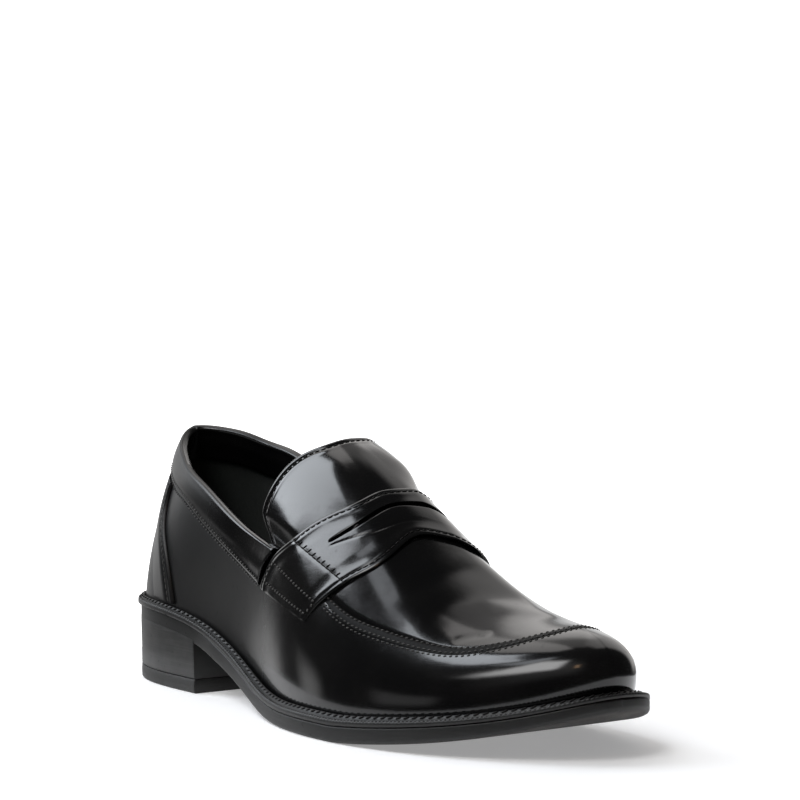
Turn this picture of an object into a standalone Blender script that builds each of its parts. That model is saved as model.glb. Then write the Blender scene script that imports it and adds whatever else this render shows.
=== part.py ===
"""Right penny loafer, empty and unbent, standing on its heel and forefoot.

Tables are in millimetres. "Along" runs from the back of the heel to the toe, "across" is
positive toward the medial side. The frame is in metres: +Z up, toe to -Y, lateral side to -X,
origin under the middle of the sole's box.
"""

import bmesh
import bpy
import numpy as np

MM = 0.001

# Sole outline, clockwise from the heel back over the lateral side: along, across.
OUTLINE = (
    (0, 0), (11, -20.8), (42, -31.6), (78, -32.6), (118, -36.9), (160, -47.5),
    (198, -51.5), (238, -44), (272, -25.6), (297, 5.4), (288, 32.5), (255, 47),
    (215, 50), (178, 42.5), (130, 29), (85, 28.5), (42, 32), (11, 21.5),
)
# Sole section: along, underside height, outsole thickness, welt thickness, edge to feather line.
SOLE = (
    (-5, 25.9, 7.2, 2.8, 3.7), (0, 25.7, 7.2, 2.8, 3.6), (40, 24.6, 7.3, 2.8, 3.4),
    (75, 20.6, 7.4, 2.8, 3.8), (100, 14.5, 7.0, 2.8, 4.1), (125, 7.0, 6.3, 2.8, 4.4),
    (150, 1.3, 6.1, 2.8, 4.8), (170, 0.0, 6.1, 2.8, 5.3), (205, 0.0, 6.2, 2.8, 5.7),
    (230, 2.2, 6.1, 2.7, 5.9), (260, 6.6, 5.6, 2.5, 6.1), (285, 13.2, 4.8, 2.3, 5.9),
    (300, 19.0, 4.3, 2.2, 5.5),
)
# Softened outsole edges, below and above: inset, height.
OUTSOLE_EDGES = ((1.2, 1.0), (0.35, 0.35))
HEEL_LENGTH = 75.0
HEEL_INSET = 1.3
HEEL_TAPER = 0.4
TOP_PIECE = 6.0
TOP_PIECE_EDGE = (0.6, 0.8)
SEAM_GAP = 0.2
LAYER_GAP = 0.3

# Last: along, crown height.
CROWN = (
    (0, 131), (40, 129), (90, 121), (120, 113.5), (135, 109), (150, 104), (165, 96.5),
    (185, 84), (200, 73.3), (214, 63.4), (225, 56.4), (237, 50.6), (250, 46.8), (262, 45.4),
    (277, 45), (300, 44.5),
)
# Last section: along, wall handle (share of the height), lateral roof handle (share of the width),
# outward lean, medial roof handle.
SECTION = (
    (0, 0.385, 0.256, -3.5, 0.256), (40, 0.493, 0.323, -0.46, 0.323),
    (60, 0.60, 0.395, 1.38, 0.395), (90, 0.68, 0.48, 3.0, 0.48), (130, 0.72, 0.50, 2.0, 0.60),
    (165, 0.66, 0.42, 2.5, 0.43), (210, 0.60, 0.45, 4.0, 0.28), (250, 0.64, 0.60, 4.0, 0.52),
    (300, 0.77, 0.80, 6.0, 0.84),
)
SPINE = ((0, 0), (40, 0), (110, 3), (170, 5), (205, 9), (230, 14), (250, 16), (262, 15), (300, 14))
SPINE_ENDS = (40.0, 262.0)

# Top edge of the side walls as a share of the way down from the crown, round the shoe from the
# toe (0) to the heel (pi): the apron seam in front, the topline behind. Turn, lateral, medial.
SIDE_TOP = (
    (0.0, 0.107, 0.107), (0.12, 0.13, 0.125), (0.232, 0.169, 0.162), (0.32, 0.224, 0.213),
    (0.42, 0.297, 0.282), (0.53, 0.393, 0.369), (0.64, 0.477, 0.442), (0.75, 0.543, 0.484),
    (0.90, 0.584, 0.493), (1.06, 0.621, 0.478), (1.20, 0.655, 0.49), (1.335, 0.660, 0.525),
    (1.50, 0.672, 0.585), (1.60, 0.686, 0.61), (1.70, 0.70, 0.62), (1.85, 0.707, 0.602),
    (2.00, 0.685, 0.558), (2.15, 0.644, 0.518), (2.30, 0.595, 0.484), (2.50, 0.524, 0.431),
    (2.70, 0.471, 0.406), (2.90, 0.429, 0.396), (3.1416, 0.396, 0.396),
)
THROAT = 1.335
WALL = 2.0
SEAM_HALF = 0.042
SEAM_RISE = 1.1
SEAM_FADE = (1.09, 1.20)

# Collar band, lower edge: turn, lateral, medial.
BAND = (
    (1.50, 0.80, 0.735), (1.60, 0.80, 0.735), (1.744, 0.80, 0.722), (1.87, 0.792, 0.695),
    (2.00, 0.771, 0.66), (2.15, 0.729, 0.624), (2.306, 0.669, 0.588), (2.50, 0.611, 0.55),
    (2.60, 0.585, 0.537), (2.80, 0.545, 0.52), (3.1416, 0.51, 0.51),
)
# Its ends by the strap, lower edge and rim as shares down: lateral, medial.
BAND_ENDS = ((0.80, 0.69), (0.735, 0.628))
BAND_T = 1.3
# Roll over the rim: height, and how far each point of it stands out or in (shares).
BAND_ROLL = 2.1
BAND_ARC = ((0.7, 0.75), (1.0, 0.0), (0.75, -0.85), (0.3, -1.0))
BAND_SEAT = 0.45
WING_GAP = 1.9

# Saddle strap: share down from the crown (lateral negative), rear edge along, front edge along.
STRAP = (
    (-0.79, 129.0, 175.5), (-0.70, 141.5, 180.6), (-0.62, 152.0, 186.5), (-0.54, 159.0, 191.3),
    (-0.45, 164.8, 196.0), (-0.30, 172.4, 198.5), (-0.13, 176.3, 199.4), (0.03, 177.6, 202.3),
    (0.15, 177.3, 204.0), (0.30, 174.5, 204.5), (0.45, 168.0, 200.5), (0.55, 160.0, 195.0),
    (0.65, 149.0, 187.5), (0.75, 136.0, 177.5),
)
STRAP_T = 1.7
SLIT = (0.34, 0.43)
SLIT_REACH = (-0.49, 0.45)

# Tongue, free rear edge: share down from the crown, along.
TONGUE = (
    (0.0, 140.5), (0.20, 138.0), (0.31, 132.8), (0.45, 127.0), (0.56, 124.0), (0.62, 124.0),
    (0.66, 127.0), (0.70, 133.5), (0.74, 143.0),
)
TONGUE_T = 1.8
# Depth under the walls, the shares before their top over which it sinks, and the sinking's run.
TONGUE_TUCK = 2.6
TUCK_START = 0.13
TUCK_RUN = 0.11
# Rise of the free part over the last, reached this far behind the strap; more on the medial side.
TONGUE_LIFT = 1.5
TONGUE_MEDIAL_LIFT = 4.5
MEDIAL_LIFT_AT = 0.34
LIFT_RUN = 20.0
TONGUE_UNDER = 0.1

# Backstay, front edge: share down from the crown, turn. Its foot and its gap to the band, as shares.
BACKSTAY = (
    (0.50, 2.545), (0.60, 2.537), (0.69, 2.502), (0.826, 2.366), (0.923, 2.29), (1.0, 2.25),
)
BACKSTAY_FOOT = 0.985
BACKSTAY_CLEAR = 0.012
BACKSTAY_T = 1.1

INSOLE_T = 2.5
INSOLE_CLEAR = 0.6
OVERLAY_GAP = 0.4
# A place inside the shoe, from which outward is told.
INSIDE = np.array([90.0, 2.0, 70.0])

# Welt edge: share from the edge to the feather line, share of its thickness.
WELT_RIBS = (
    (0.0, 0.0), (0.0, 0.55), (0.10, 0.95), (0.30, 0.97), (0.42, 0.66), (0.52, 0.98), (0.78, 1.0),
    (0.93, 0.55), (0.93, 0.0),
)

PAINT = {
    "outsole": (0.035, 0.032, 0.030, 0.55),
    "welt": (0.030, 0.027, 0.025, 0.55),
    "heel_block": (0.035, 0.032, 0.030, 0.55),
    "heel_top_piece": (0.030, 0.030, 0.030, 0.75),
    "insole": (0.030, 0.028, 0.024, 0.85),
    "upper": (0.012, 0.012, 0.013, 0.25),
    "tongue": (0.014, 0.014, 0.015, 0.25),
    "saddle_strap": (0.014, 0.014, 0.015, 0.22),
    "collar_band": (0.012, 0.012, 0.013, 0.28),
    "backstay": (0.012, 0.012, 0.013, 0.28),
}


def spline(table, x):
    """Natural cubic through a table's rows, held past its ends: one column in, the rest out."""
    rows = np.asarray(table, float)
    knots, values = rows[:, 0], rows[:, 1:]
    count = len(knots)
    step = np.diff(knots)
    system = np.eye(count)
    known = np.zeros_like(values)
    for i in range(1, count - 1):
        system[i, i - 1:i + 2] = step[i - 1], 2 * (step[i - 1] + step[i]), step[i]
        known[i] = 6 * ((values[i + 1] - values[i]) / step[i] - (values[i] - values[i - 1]) / step[i - 1])
    bend = np.linalg.solve(system, known)
    x = np.clip(np.asarray(x, float), knots[0], knots[-1])
    i = np.clip(np.searchsorted(knots, x, side="right") - 1, 0, count - 2)
    h = step[i][..., None]
    a = (knots[i + 1] - x)[..., None]
    b = (x - knots[i])[..., None]
    out = bend[i] * a**3 / (6 * h) + bend[i + 1] * b**3 / (6 * h)
    out = out + (values[i] / h - bend[i] * h / 6) * a + (values[i + 1] / h - bend[i + 1] * h / 6) * b
    return out[..., 0] if values.shape[1] == 1 else out


def closed_spline(points, count):
    """Closed cubic through plan points, spaced by the root of their distance."""
    p = np.asarray(points, float)
    size = len(p)
    step = np.linalg.norm(np.roll(p, -1, 0) - p, axis=1) ** 0.5
    knots = np.concatenate([[0], np.cumsum(step)])
    system = np.zeros((size, size))
    known = np.zeros((size, 2))
    for i in range(size):
        system[i, i - 1] += step[i - 1]
        system[i, i] += 2 * (step[i - 1] + step[i])
        system[i, (i + 1) % size] += step[i]
        known[i] = 6 * ((p[(i + 1) % size] - p[i]) / step[i] - (p[i] - p[i - 1]) / step[i - 1])
    bend = np.linalg.solve(system, known)
    s = np.linspace(0, knots[-1], count, endpoint=False)
    i = np.clip(np.searchsorted(knots, s, side="right") - 1, 0, size - 1)
    j = (i + 1) % size
    h = step[i][:, None]
    a = (knots[i + 1] - s)[:, None]
    b = (s - knots[i])[:, None]
    out = bend[i] * a**3 / (6 * h) + bend[j] * b**3 / (6 * h)
    return out + (p[i] / h - bend[i] * h / 6) * a + (p[j] / h - bend[j] * h / 6) * b


EDGE = closed_spline(OUTLINE, 6000)
TURN = np.roll(EDGE, -1, 0) - np.roll(EDGE, 1, 0)
TURN = TURN / np.linalg.norm(TURN, axis=1)[:, None]
INWARD = np.stack([-TURN[:, 1], TURN[:, 0]], 1)
MIDDLE = (EDGE.min(0) + EDGE.max(0)) / 2


def smooth(t):
    t = np.clip(t, 0.0, 1.0)
    return t * t * (3 - 2 * t)


def sole_row(along):
    """Underside, outsole top, welt top and feather margin at a distance along."""
    rows = spline(SOLE, along)
    under = np.maximum(rows[..., 0], 0.0)
    return under, under + rows[..., 1], under + rows[..., 1] + rows[..., 2], rows[..., 3]


def inset_sides(inset):
    """Lateral and medial halves of the sole edge moved in by this much, each from back to tip."""
    loop = EDGE + INWARD * np.broadcast_to(inset, (len(EDGE),))[:, None]
    back = int(np.argmin(loop[:, 0]))
    loop = np.roll(loop, -back, 0)
    tip = int(np.argmax(loop[:, 0]))
    return loop[:tip + 1], np.concatenate([loop[tip:], loop[:1]])[::-1]


def on_side(sides, side, turn):
    """Plan point of a half loop, with turn 0 at the tip and pi at the back."""
    half = sides[side]
    along = half[0, 0] + (half[-1, 0] - half[0, 0]) * (1 + np.cos(turn)) / 2
    rising = np.maximum.accumulate(half[:, 0] + np.arange(len(half)) * 1e-9)
    return np.stack([along, np.interp(along, rising, half[:, 1])], -1)


FEATHER = inset_sides(sole_row(EDGE[:, 0])[3])


def last(turn, down):
    """Point of the last (along, across, height); down is -1 lateral feather, 0 crown, 1 medial."""
    turn, down = np.broadcast_arrays(np.asarray(turn, float), np.asarray(down, float))
    lateral = (down <= 0)[..., None]
    foot = np.where(lateral, on_side(FEATHER, 0, turn), on_side(FEATHER, 1, turn))
    ridge = SPINE_ENDS[0] + (SPINE_ENDS[1] - SPINE_ENDS[0]) * (1 + np.cos(turn)) / 2
    top = np.stack([ridge, spline(SPINE, ridge)], -1)
    up = 1 - np.abs(down)
    wall, roof, lean, medial_roof = np.moveaxis(spline(SECTION, foot[..., 0]), -1, 0)
    roof = np.where(down <= 0, roof, medial_roof)
    reach = np.linalg.norm(top - foot, axis=-1)
    b1 = 3 * (1 - up) ** 2 * up
    b2 = 3 * (1 - up) * up**2
    b3 = up**3
    inward = -lean / reach * b1 + (1 - roof) * b2 + b3
    plan = foot + (top - foot) * inward[..., None]
    low = sole_row(plan[..., 0])[2]
    height = low + (spline(CROWN, plan[..., 0]) - low) * (wall * b1 + b2 + b3)
    return np.concatenate([plan, height[..., None]], -1)


def turn_at(along, down):
    """The turn at which the line of this share down passes this distance along."""
    along, down = np.broadcast_arrays(np.asarray(along, float), np.asarray(down, float))
    low = np.zeros(along.shape)
    high = np.full(along.shape, np.pi)
    for _ in range(36):
        mid = (low + high) / 2
        ahead = last(mid, down)[..., 0] > along
        low = np.where(ahead, mid, low)
        high = np.where(ahead, high, mid)
    return (low + high) / 2


def to_frame(points):
    """Along, across, height in millimetres to the frame in metres."""
    p = np.asarray(points, float)
    return np.stack([p[..., 1] - MIDDLE[1], MIDDLE[0] - p[..., 0], p[..., 2]], -1) * MM


def finish(name, points, faces):
    """One closed object from points in millimetres and faces, with its own material."""
    bm = bmesh.new()
    verts = [bm.verts.new(co) for co in to_frame(points)]
    for face in faces:
        ring = [verts[i] for k, i in enumerate(face) if i != face[k - 1]]
        if len(set(ring)) > 2:
            bm.faces.new(ring)
    bmesh.ops.recalc_face_normals(bm, faces=bm.faces)
    bmesh.ops.triangulate(bm, faces=bm.faces)
    mesh = bpy.data.meshes.new(name)
    bm.to_mesh(mesh)
    bm.free()
    obj = bpy.data.objects.new(name, mesh)
    bpy.context.scene.collection.objects.link(obj)
    red, green, blue, rough = PAINT[name]
    material = bpy.data.materials.new(name)
    material.use_nodes = True
    shader = material.node_tree.nodes["Principled BSDF"]
    shader.inputs["Base Color"].default_value = (red, green, blue, 1.0)
    shader.inputs["Roughness"].default_value = rough
    mesh.materials.append(material)
    return obj


def point_normals(points, faces):
    """Outward unit normals of a patch's points, from the faces round each."""
    total = np.zeros_like(points)
    for face in faces:
        a, b, c, d = points[list(face)]
        push = np.cross(c - a, d - b)
        for i in face:
            total[i] += push
    return total / np.maximum(np.linalg.norm(total, axis=1), 1e-12)[:, None]


def boundary(faces):
    """The directed edges that only one face uses."""
    seen = set()
    for face in faces:
        for k, i in enumerate(face):
            if i != face[k - 1]:
                seen.add((face[k - 1], i))
    return [edge for edge in seen if (edge[1], edge[0]) not in seen]


def shell(name, points, faces, outer, inner):
    """A patch given thickness: outer and inner are heights of its two skins over the patch."""
    points = np.asarray(points, float)
    normal = point_normals(points, faces)
    count = len(points)
    skins = np.concatenate([
        points + normal * np.broadcast_to(outer, (count,))[:, None],
        points + normal * np.broadcast_to(inner, (count,))[:, None],
    ])
    solid = [tuple(face) for face in faces]
    solid += [tuple(count + i for i in face[::-1]) for face in faces]
    solid += [(b, a, count + a, count + b) for a, b in boundary(faces)]
    return finish(name, skins, solid)


def rings(name, loops, closed):
    """A solid bridged through rings of points; open ends get a face."""
    loops = np.asarray(loops, float)
    count, size = loops.shape[:2]
    faces = []
    for i in range(count if closed else count - 1):
        j = (i + 1) % count
        for k in range(size):
            m = (k + 1) % size
            faces.append((i * size + k, i * size + m, j * size + m, j * size + k))
    if not closed:
        faces.append(tuple(range(size)))
        faces.append(tuple((count - 1) * size + k for k in range(size)))
    return finish(name, loops.reshape(-1, 3), faces)


def slab(name, insets, heights, turns):
    """A plate in the sole's outline: one inset and height rule for each level, bottom to top."""
    loops = []
    for inset, height in zip(insets, heights):
        sides = inset_sides(inset)
        level = []
        for side in (0, 1):
            plan = on_side(sides, side, turns)
            level.append(np.column_stack([plan, height(plan[:, 0])]))
        loops.append(level)
    points, index = [], {}
    last_turn = len(turns) - 1
    for level in range(len(insets)):
        for side in (0, 1):
            for i in range(len(turns)):
                if side and i in (0, last_turn):
                    index[level, 1, i] = index[level, 0, i]
                    continue
                index[level, side, i] = len(points)
                points.append(loops[level][side][i])
    faces = []
    for i in range(last_turn):
        for level in range(len(insets) - 1):
            for side in (0, 1):
                faces.append((
                    index[level, side, i], index[level, side, i + 1],
                    index[level + 1, side, i + 1], index[level + 1, side, i],
                ))
        for level in (0, len(insets) - 1):
            faces.append((
                index[level, 0, i], index[level, 0, i + 1],
                index[level, 1, i + 1], index[level, 1, i],
            ))
    return finish(name, points, faces)


def make_outsole():
    """Plate with arch, toe spring and a softened lower edge."""
    turns = np.linspace(0, np.pi, 49)
    (low_inset, low_rise), (high_inset, high_drop) = OUTSOLE_EDGES
    insets = (low_inset, 0.0, 0.0, high_inset)
    heights = (
        lambda a: sole_row(a)[0],
        lambda a: sole_row(a)[0] + low_rise,
        lambda a: sole_row(a)[1] - high_drop,
        lambda a: sole_row(a)[1],
    )
    slab("outsole", insets, heights, turns)


def make_insole():
    """Footbed plate inside the upper."""
    inset = sole_row(EDGE[:, 0])[3] + WALL + INSOLE_CLEAR
    heights = (
        lambda a: sole_row(a)[1] + LAYER_GAP,
        lambda a: sole_row(a)[1] + LAYER_GAP + INSOLE_T,
    )
    slab("insole", (inset, inset), heights, np.linspace(0, np.pi, 37))


def make_heel():
    """Stacked block under the seat and its top piece, both with a flat upright breast."""
    share = np.linspace(0, 1, 15) ** 2

    def block(name, insets, heights):
        sections = []
        for inset, height in zip(insets, heights):
            sides = inset_sides(inset)
            level = []
            for side in (0, 1):
                half = sides[side]
                along = half[0, 0] + (HEEL_LENGTH - half[0, 0]) * share
                rising = np.maximum.accumulate(half[:, 0] + np.arange(len(half)) * 1e-9)
                across = np.interp(along, rising, half[:, 1])
                level.append(np.column_stack([along, across, height(along)]))
            sections.append(level)
        levels = len(insets)
        loops = []
        for i in range(1, len(share)):
            ring = [sections[k][0][i] for k in range(levels)]
            ring += [sections[k][1][i] for k in reversed(range(levels))]
            loops.append(ring)
        size = 2 * levels
        points = [p for ring in loops for p in ring] + [sections[k][0][0] for k in range(levels)]
        tip = len(loops) * size
        faces = []
        for i in range(len(loops) - 1):
            for k in range(size):
                m = (k + 1) % size
                faces.append((i * size + k, i * size + m, (i + 1) * size + m, (i + 1) * size + k))
        faces.append(tuple((len(loops) - 1) * size + k for k in range(size)))
        for k in range(levels - 1):
            faces.append((k, k + 1, tip + k + 1, tip + k))
            faces.append((size - 1 - k, size - 2 - k, tip + k + 1, tip + k))
        faces.append((0, size - 1, tip))
        faces.append((levels - 1, levels, tip + levels - 1))
        finish(name, points, faces)

    seam = HEEL_INSET + HEEL_TAPER
    edge_in, edge_up = TOP_PIECE_EDGE
    block(
        "heel_top_piece",
        (seam + edge_in, seam, seam),
        (lambda a: 0 * a, lambda a: 0 * a + edge_up, lambda a: 0 * a + TOP_PIECE),
    )
    block(
        "heel_block",
        (seam, HEEL_INSET),
        (lambda a: 0 * a + TOP_PIECE + SEAM_GAP, lambda a: sole_row(a)[0] - LAYER_GAP),
    )


def make_welt():
    """Ring on the outsole with two ribs round its top edge."""
    turns = np.linspace(0, np.pi, 45)
    levels = []
    margin = sole_row(EDGE[:, 0])[3]
    for share, rise in WELT_RIBS:
        sides = inset_sides(margin * share)
        row = []
        for side in (0, 1):
            plan = on_side(sides, side, turns)
            _, low, high, _ = sole_row(plan[:, 0])
            row.append(np.column_stack([plan, low + LAYER_GAP + (high - low - LAYER_GAP) * rise]))
        levels.append(np.concatenate([row[0], row[1][-2:0:-1]]))
    rings("welt", np.stack(levels, 1), True)


def side_top(turn, side):
    return spline(SIDE_TOP, turn)[..., side]


def make_upper():
    """Hollow last shape: side walls with a raised apron seam, open at the collar and below."""
    front = np.linspace(0, THROAT, 25)
    rear = np.linspace(THROAT, np.pi, 22)[1:]
    turns = np.concatenate([front, rear])
    throat = len(front) - 1
    climb = np.array([0.0, 0.08, 0.2, 0.36, 0.54, 0.72, 0.88, 1.0])
    apron = np.array([0.0, 0.12, 0.3, 0.52, 0.76, 1.0])
    points, rise, index = [], [], {}

    def add(key, point, up):
        index[key] = len(points)
        points.append(point)
        rise.append(up)

    ends = (0, len(turns) - 1)
    for side in (0, 1):
        sign = (-1, 1)[side]
        tops = side_top(turns, side)
        for i, turn in enumerate(turns):
            ridge = SEAM_RISE * (1 - smooth((turn - SEAM_FADE[0]) / (SEAM_FADE[1] - SEAM_FADE[0])))
            top = 1 - tops[i]
            ups = list((top - SEAM_HALF) * climb) + [top - SEAM_HALF / 2, top]
            lifts = [0.0] * len(climb) + [0.8 * ridge, ridge]
            if i <= throat:
                start = top + SEAM_HALF
                ups += [top + SEAM_HALF / 2] + list(start + (1 - start) * apron)
                lifts += [0.8 * ridge] + [0.0] * len(apron)
            rows = last(turn, sign * (1 - np.array(ups)))
            keys = [(side, i, k) for k in range(-1, len(ups))]
            foot = rows[0].copy()
            foot[2] = sole_row(foot[0])[1] + LAYER_GAP
            rows = np.concatenate([foot[None], rows])
            lifts = [0.0] + lifts
            for key, point, lift in zip(keys, rows, lifts):
                crown = i <= throat and key[2] == len(ups) - 1
                if side and (i in ends or crown):
                    index[key] = index[0, i, key[2]]
                else:
                    add(key, point, lift)
    full = len(climb) + 2
    tall = full + 1 + len(apron)
    faces = []
    for side in (0, 1):
        for i in range(len(turns) - 1):
            height = tall if i < throat else full
            for k in range(-1, height - 1):
                face = (
                    index[side, i, k], index[side, i + 1, k],
                    index[side, i + 1, k + 1], index[side, i, k + 1],
                )
                faces.append(face if side else face[::-1])
    shell("upper", points, faces, np.array(rise), -WALL)


def grid_faces(columns, rows, keep=lambda i, k: True):
    return [
        (i * rows + k, (i + 1) * rows + k, (i + 1) * rows + k + 1, i * rows + k + 1)
        for i in range(columns - 1)
        for k in range(rows - 1)
        if keep(i, k)
    ]


def make_strap():
    """Saddle strap with its wings, cut through by the coin slit."""
    downs = np.linspace(STRAP[0][0], STRAP[-1][0], 37)
    shares = np.array([0.0, 0.17, SLIT[0], SLIT[1], 0.62, 0.82, 1.0])
    edges = spline(STRAP, downs)
    points = []
    for down, (rear, fore) in zip(downs, edges):
        along = rear + (fore - rear) * shares
        points.append(last(turn_at(along, down), down))
    slit = [i for i, d in enumerate(downs) if SLIT_REACH[0] <= d <= SLIT_REACH[1]]
    columns = range(slit[0], slit[-1])
    faces = grid_faces(len(downs), len(shares), lambda i, k: k != 2 or i not in columns)
    faces = [face[::-1] for face in faces]
    points = np.concatenate(points)
    shell("saddle_strap", points, faces, OVERLAY_GAP + STRAP_T, OVERLAY_GAP)


def make_tongue():
    """Wide tongue from the throat under the strap to its rounded free edge, tucked in at the sides."""
    downs = np.linspace(-0.74, 0.74, 31)
    shares = np.linspace(0, 1, 8)
    front = THROAT + 0.005
    points, tuck = [], []
    for down in downs:
        rear = turn_at(spline(TONGUE, abs(down)), down)
        turns = rear + (front - rear) * shares
        points.append(last(turns, down))
        beyond = abs(down) - side_top(turns, 0 if down <= 0 else 1)
        inside = smooth((beyond + TUCK_START) / TUCK_RUN)
        behind = spline(STRAP, down)[..., 0] - points[-1][:, 0]
        lift = TONGUE_LIFT + TONGUE_MEDIAL_LIFT * smooth(down / MEDIAL_LIFT_AT)
        tuck.append(lift * smooth(behind / LIFT_RUN) * (1 - inside) - TONGUE_TUCK * inside - TONGUE_UNDER)
    points = np.concatenate(points)
    tuck = np.concatenate(tuck)
    faces = [face[::-1] for face in grid_faces(len(downs), len(shares))]
    shell("tongue", points, faces, tuck, tuck - TONGUE_T)


def wing_turn(down, side):
    """Turn of the strap's rear edge at a share down, a little behind it."""
    sign = (-1, 1)[side]
    down = np.clip(down, 0.5, abs(STRAP[0][0]) if side == 0 else STRAP[-1][0])
    rear = spline(STRAP, sign * down)[..., 0] - WING_GAP
    return turn_at(rear, sign * down)


def make_band():
    """Collar band: an outer layer below the topline that rolls over the rim."""
    climb = np.array([0.0, 0.3, 0.65, 1.0])
    share = np.linspace(0, 1, 23)
    halves = []
    for side in (0, 1):
        sign = (-1, 1)[side]
        foot, rim = BAND_ENDS[side]
        stop = wing_turn(foot + (rim - foot) * climb, side)
        columns = []
        for s in share:
            turn = np.pi + (stop - np.pi) * s
            low = spline(BAND, turn[0])[..., side]
            high = side_top(turn[-1], side)
            columns.append(last(turn, sign * (low + (high - low) * climb)))
        halves.append(np.array(columns))
    strip = np.concatenate([halves[0][::-1], halves[1][1:]])
    count, rows = strip.shape[:2]
    faces = [face[::-1] for face in grid_faces(count, rows)]
    normal = point_normals(strip.reshape(-1, 3), faces).reshape(strip.shape)
    normal = normal * np.sign(((strip - INSIDE) * normal).sum(-1).mean())
    up = strip[:, -1] - strip[:, -2]
    rim_normal = normal[:, -1]
    up = up - rim_normal * (up * rim_normal).sum(-1)[:, None]
    up = up / np.linalg.norm(up, axis=1)[:, None]
    rim = strip[:, -1]
    low, high = OVERLAY_GAP, OVERLAY_GAP + BAND_T
    loop = [strip[:, k] + normal[:, k] * high for k in range(rows)]
    for lift, side_step in BAND_ARC:
        reach = high if side_step > 0 else WALL + SEAM_GAP
        loop.append(rim + up * BAND_ROLL * lift + rim_normal * side_step * reach)
    loop.append(rim + up * BAND_SEAT + rim_normal * low)
    loop += [strip[:, k] + normal[:, k] * low for k in (2, 1, 0)]
    rings("collar_band", np.stack(loop, 1), False)


def make_backstay():
    """Counter patch up the back of the heel, from the welt to the collar band."""
    share = np.linspace(-1, 1, 17)
    climb = np.linspace(0, 1, 6)
    points = []
    for s in share:
        side = 0 if s <= 0 else 1
        sign = (-1, 1)[side]
        edge_turn = np.pi + (BACKSTAY[0][1] - np.pi) * abs(s)
        top = spline(BAND, edge_turn)[..., side] + BACKSTAY_CLEAR
        down = BACKSTAY_FOOT + (top - BACKSTAY_FOOT) * climb
        turn = np.pi + (spline(BACKSTAY, down) - np.pi) * abs(s)
        points.append(last(turn, sign * down))
    points = np.concatenate(points)
    faces = grid_faces(len(share), len(climb))
    normal = point_normals(points, faces)
    if ((points - INSIDE) * normal).sum() < 0:
        faces = [face[::-1] for face in faces]
    shell("backstay", points, faces, OVERLAY_GAP + BACKSTAY_T, OVERLAY_GAP)


def clear():
    for obj in list(bpy.data.objects):
        bpy.data.objects.remove(obj, do_unlink=True)


clear()
make_outsole()
make_heel()
make_welt()
make_insole()
make_upper()
make_tongue()
make_strap()
make_band()
make_backstay()
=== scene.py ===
"""Right penny loafer in polished black leather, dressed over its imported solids.

Tables are in millimetres: along runs from the heel back to the toe, across is positive on the
medial side. A place on the foot form is a turn, from 0 at the toe to pi at the heel, and a share
down from the crown line, negative on the lateral side. Meshes are in metres in the frame's axes.
"""

from __future__ import annotations

import logging
import math
from collections.abc import Callable, Sequence
from dataclasses import dataclass
from enum import Enum
from functools import cached_property, lru_cache

import bmesh
import bpy
import numpy as np
from mathutils import Matrix, Vector

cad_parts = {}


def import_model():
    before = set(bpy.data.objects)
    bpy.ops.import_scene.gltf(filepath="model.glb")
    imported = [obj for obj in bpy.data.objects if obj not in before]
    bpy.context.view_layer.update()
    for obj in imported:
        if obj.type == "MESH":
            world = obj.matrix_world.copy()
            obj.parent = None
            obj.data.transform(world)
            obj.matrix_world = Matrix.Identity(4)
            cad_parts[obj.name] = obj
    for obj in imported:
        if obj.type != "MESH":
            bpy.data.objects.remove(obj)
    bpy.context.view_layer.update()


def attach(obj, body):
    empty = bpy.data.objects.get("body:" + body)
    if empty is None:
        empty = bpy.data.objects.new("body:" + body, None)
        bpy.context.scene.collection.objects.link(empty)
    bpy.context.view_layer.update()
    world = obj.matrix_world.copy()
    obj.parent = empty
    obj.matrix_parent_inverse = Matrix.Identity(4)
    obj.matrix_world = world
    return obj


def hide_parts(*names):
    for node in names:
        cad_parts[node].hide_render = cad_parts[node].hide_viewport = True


Array = np.ndarray
Table = tuple[tuple[float, ...], ...]
Run = tuple[Array, Array]

LOG = logging.getLogger("loafer")
MM = 0.001
WELD = 2e-6
TINY = 1e-9
UP = np.array([0.0, 0.0, 1.0])
BEVEL_SEGMENTS = 2
BEVEL_ANGLE = math.radians(50.0)
BODY = "root"


class Slot(Enum):
    """The record's material slots."""

    SOLE = "sole_leather"
    HEEL = "heel_stack"
    TOP_PIECE = "heel_rubber"
    WELT = "welt_leather"
    FOOTBED = "footbed"
    UPPER = "upper_leather"
    TONGUE = "tongue_leather"
    STRAP = "strap_leather"
    BAND = "band_leather"
    BACKSTAY = "backstay_leather"


class Side(Enum):
    """The two sides of the shoe: the column of a side table and the sign of a share down."""

    LATERAL = (0, -1)
    MEDIAL = (1, 1)

    @property
    def column(self) -> int:
        """Column of this side in a table of both."""
        return self.value[0]

    @property
    def sign(self) -> int:
        """Sign of a share down on this side."""
        return self.value[1]


def smooth(t: Array | float) -> Array:
    """Eased step from 0 to 1."""
    t = np.clip(t, 0.0, 1.0)
    return t * t * (3 - 2 * t)


def ramp(x: Array | float, start: Array | float, run: Array | float) -> Array:
    """Eased step that leaves 0 at start and reaches 1 after a run."""
    return smooth((x - start) / run)


def trail(points: Array, axis: int = 0) -> Array:
    """Way covered at each point of a run, from 0."""
    steps = np.linalg.norm(np.diff(points, axis=axis), axis=-1)
    start = np.zeros_like(np.take(steps, [0], axis))
    return np.concatenate([start, np.cumsum(steps, axis)], axis)


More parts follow.
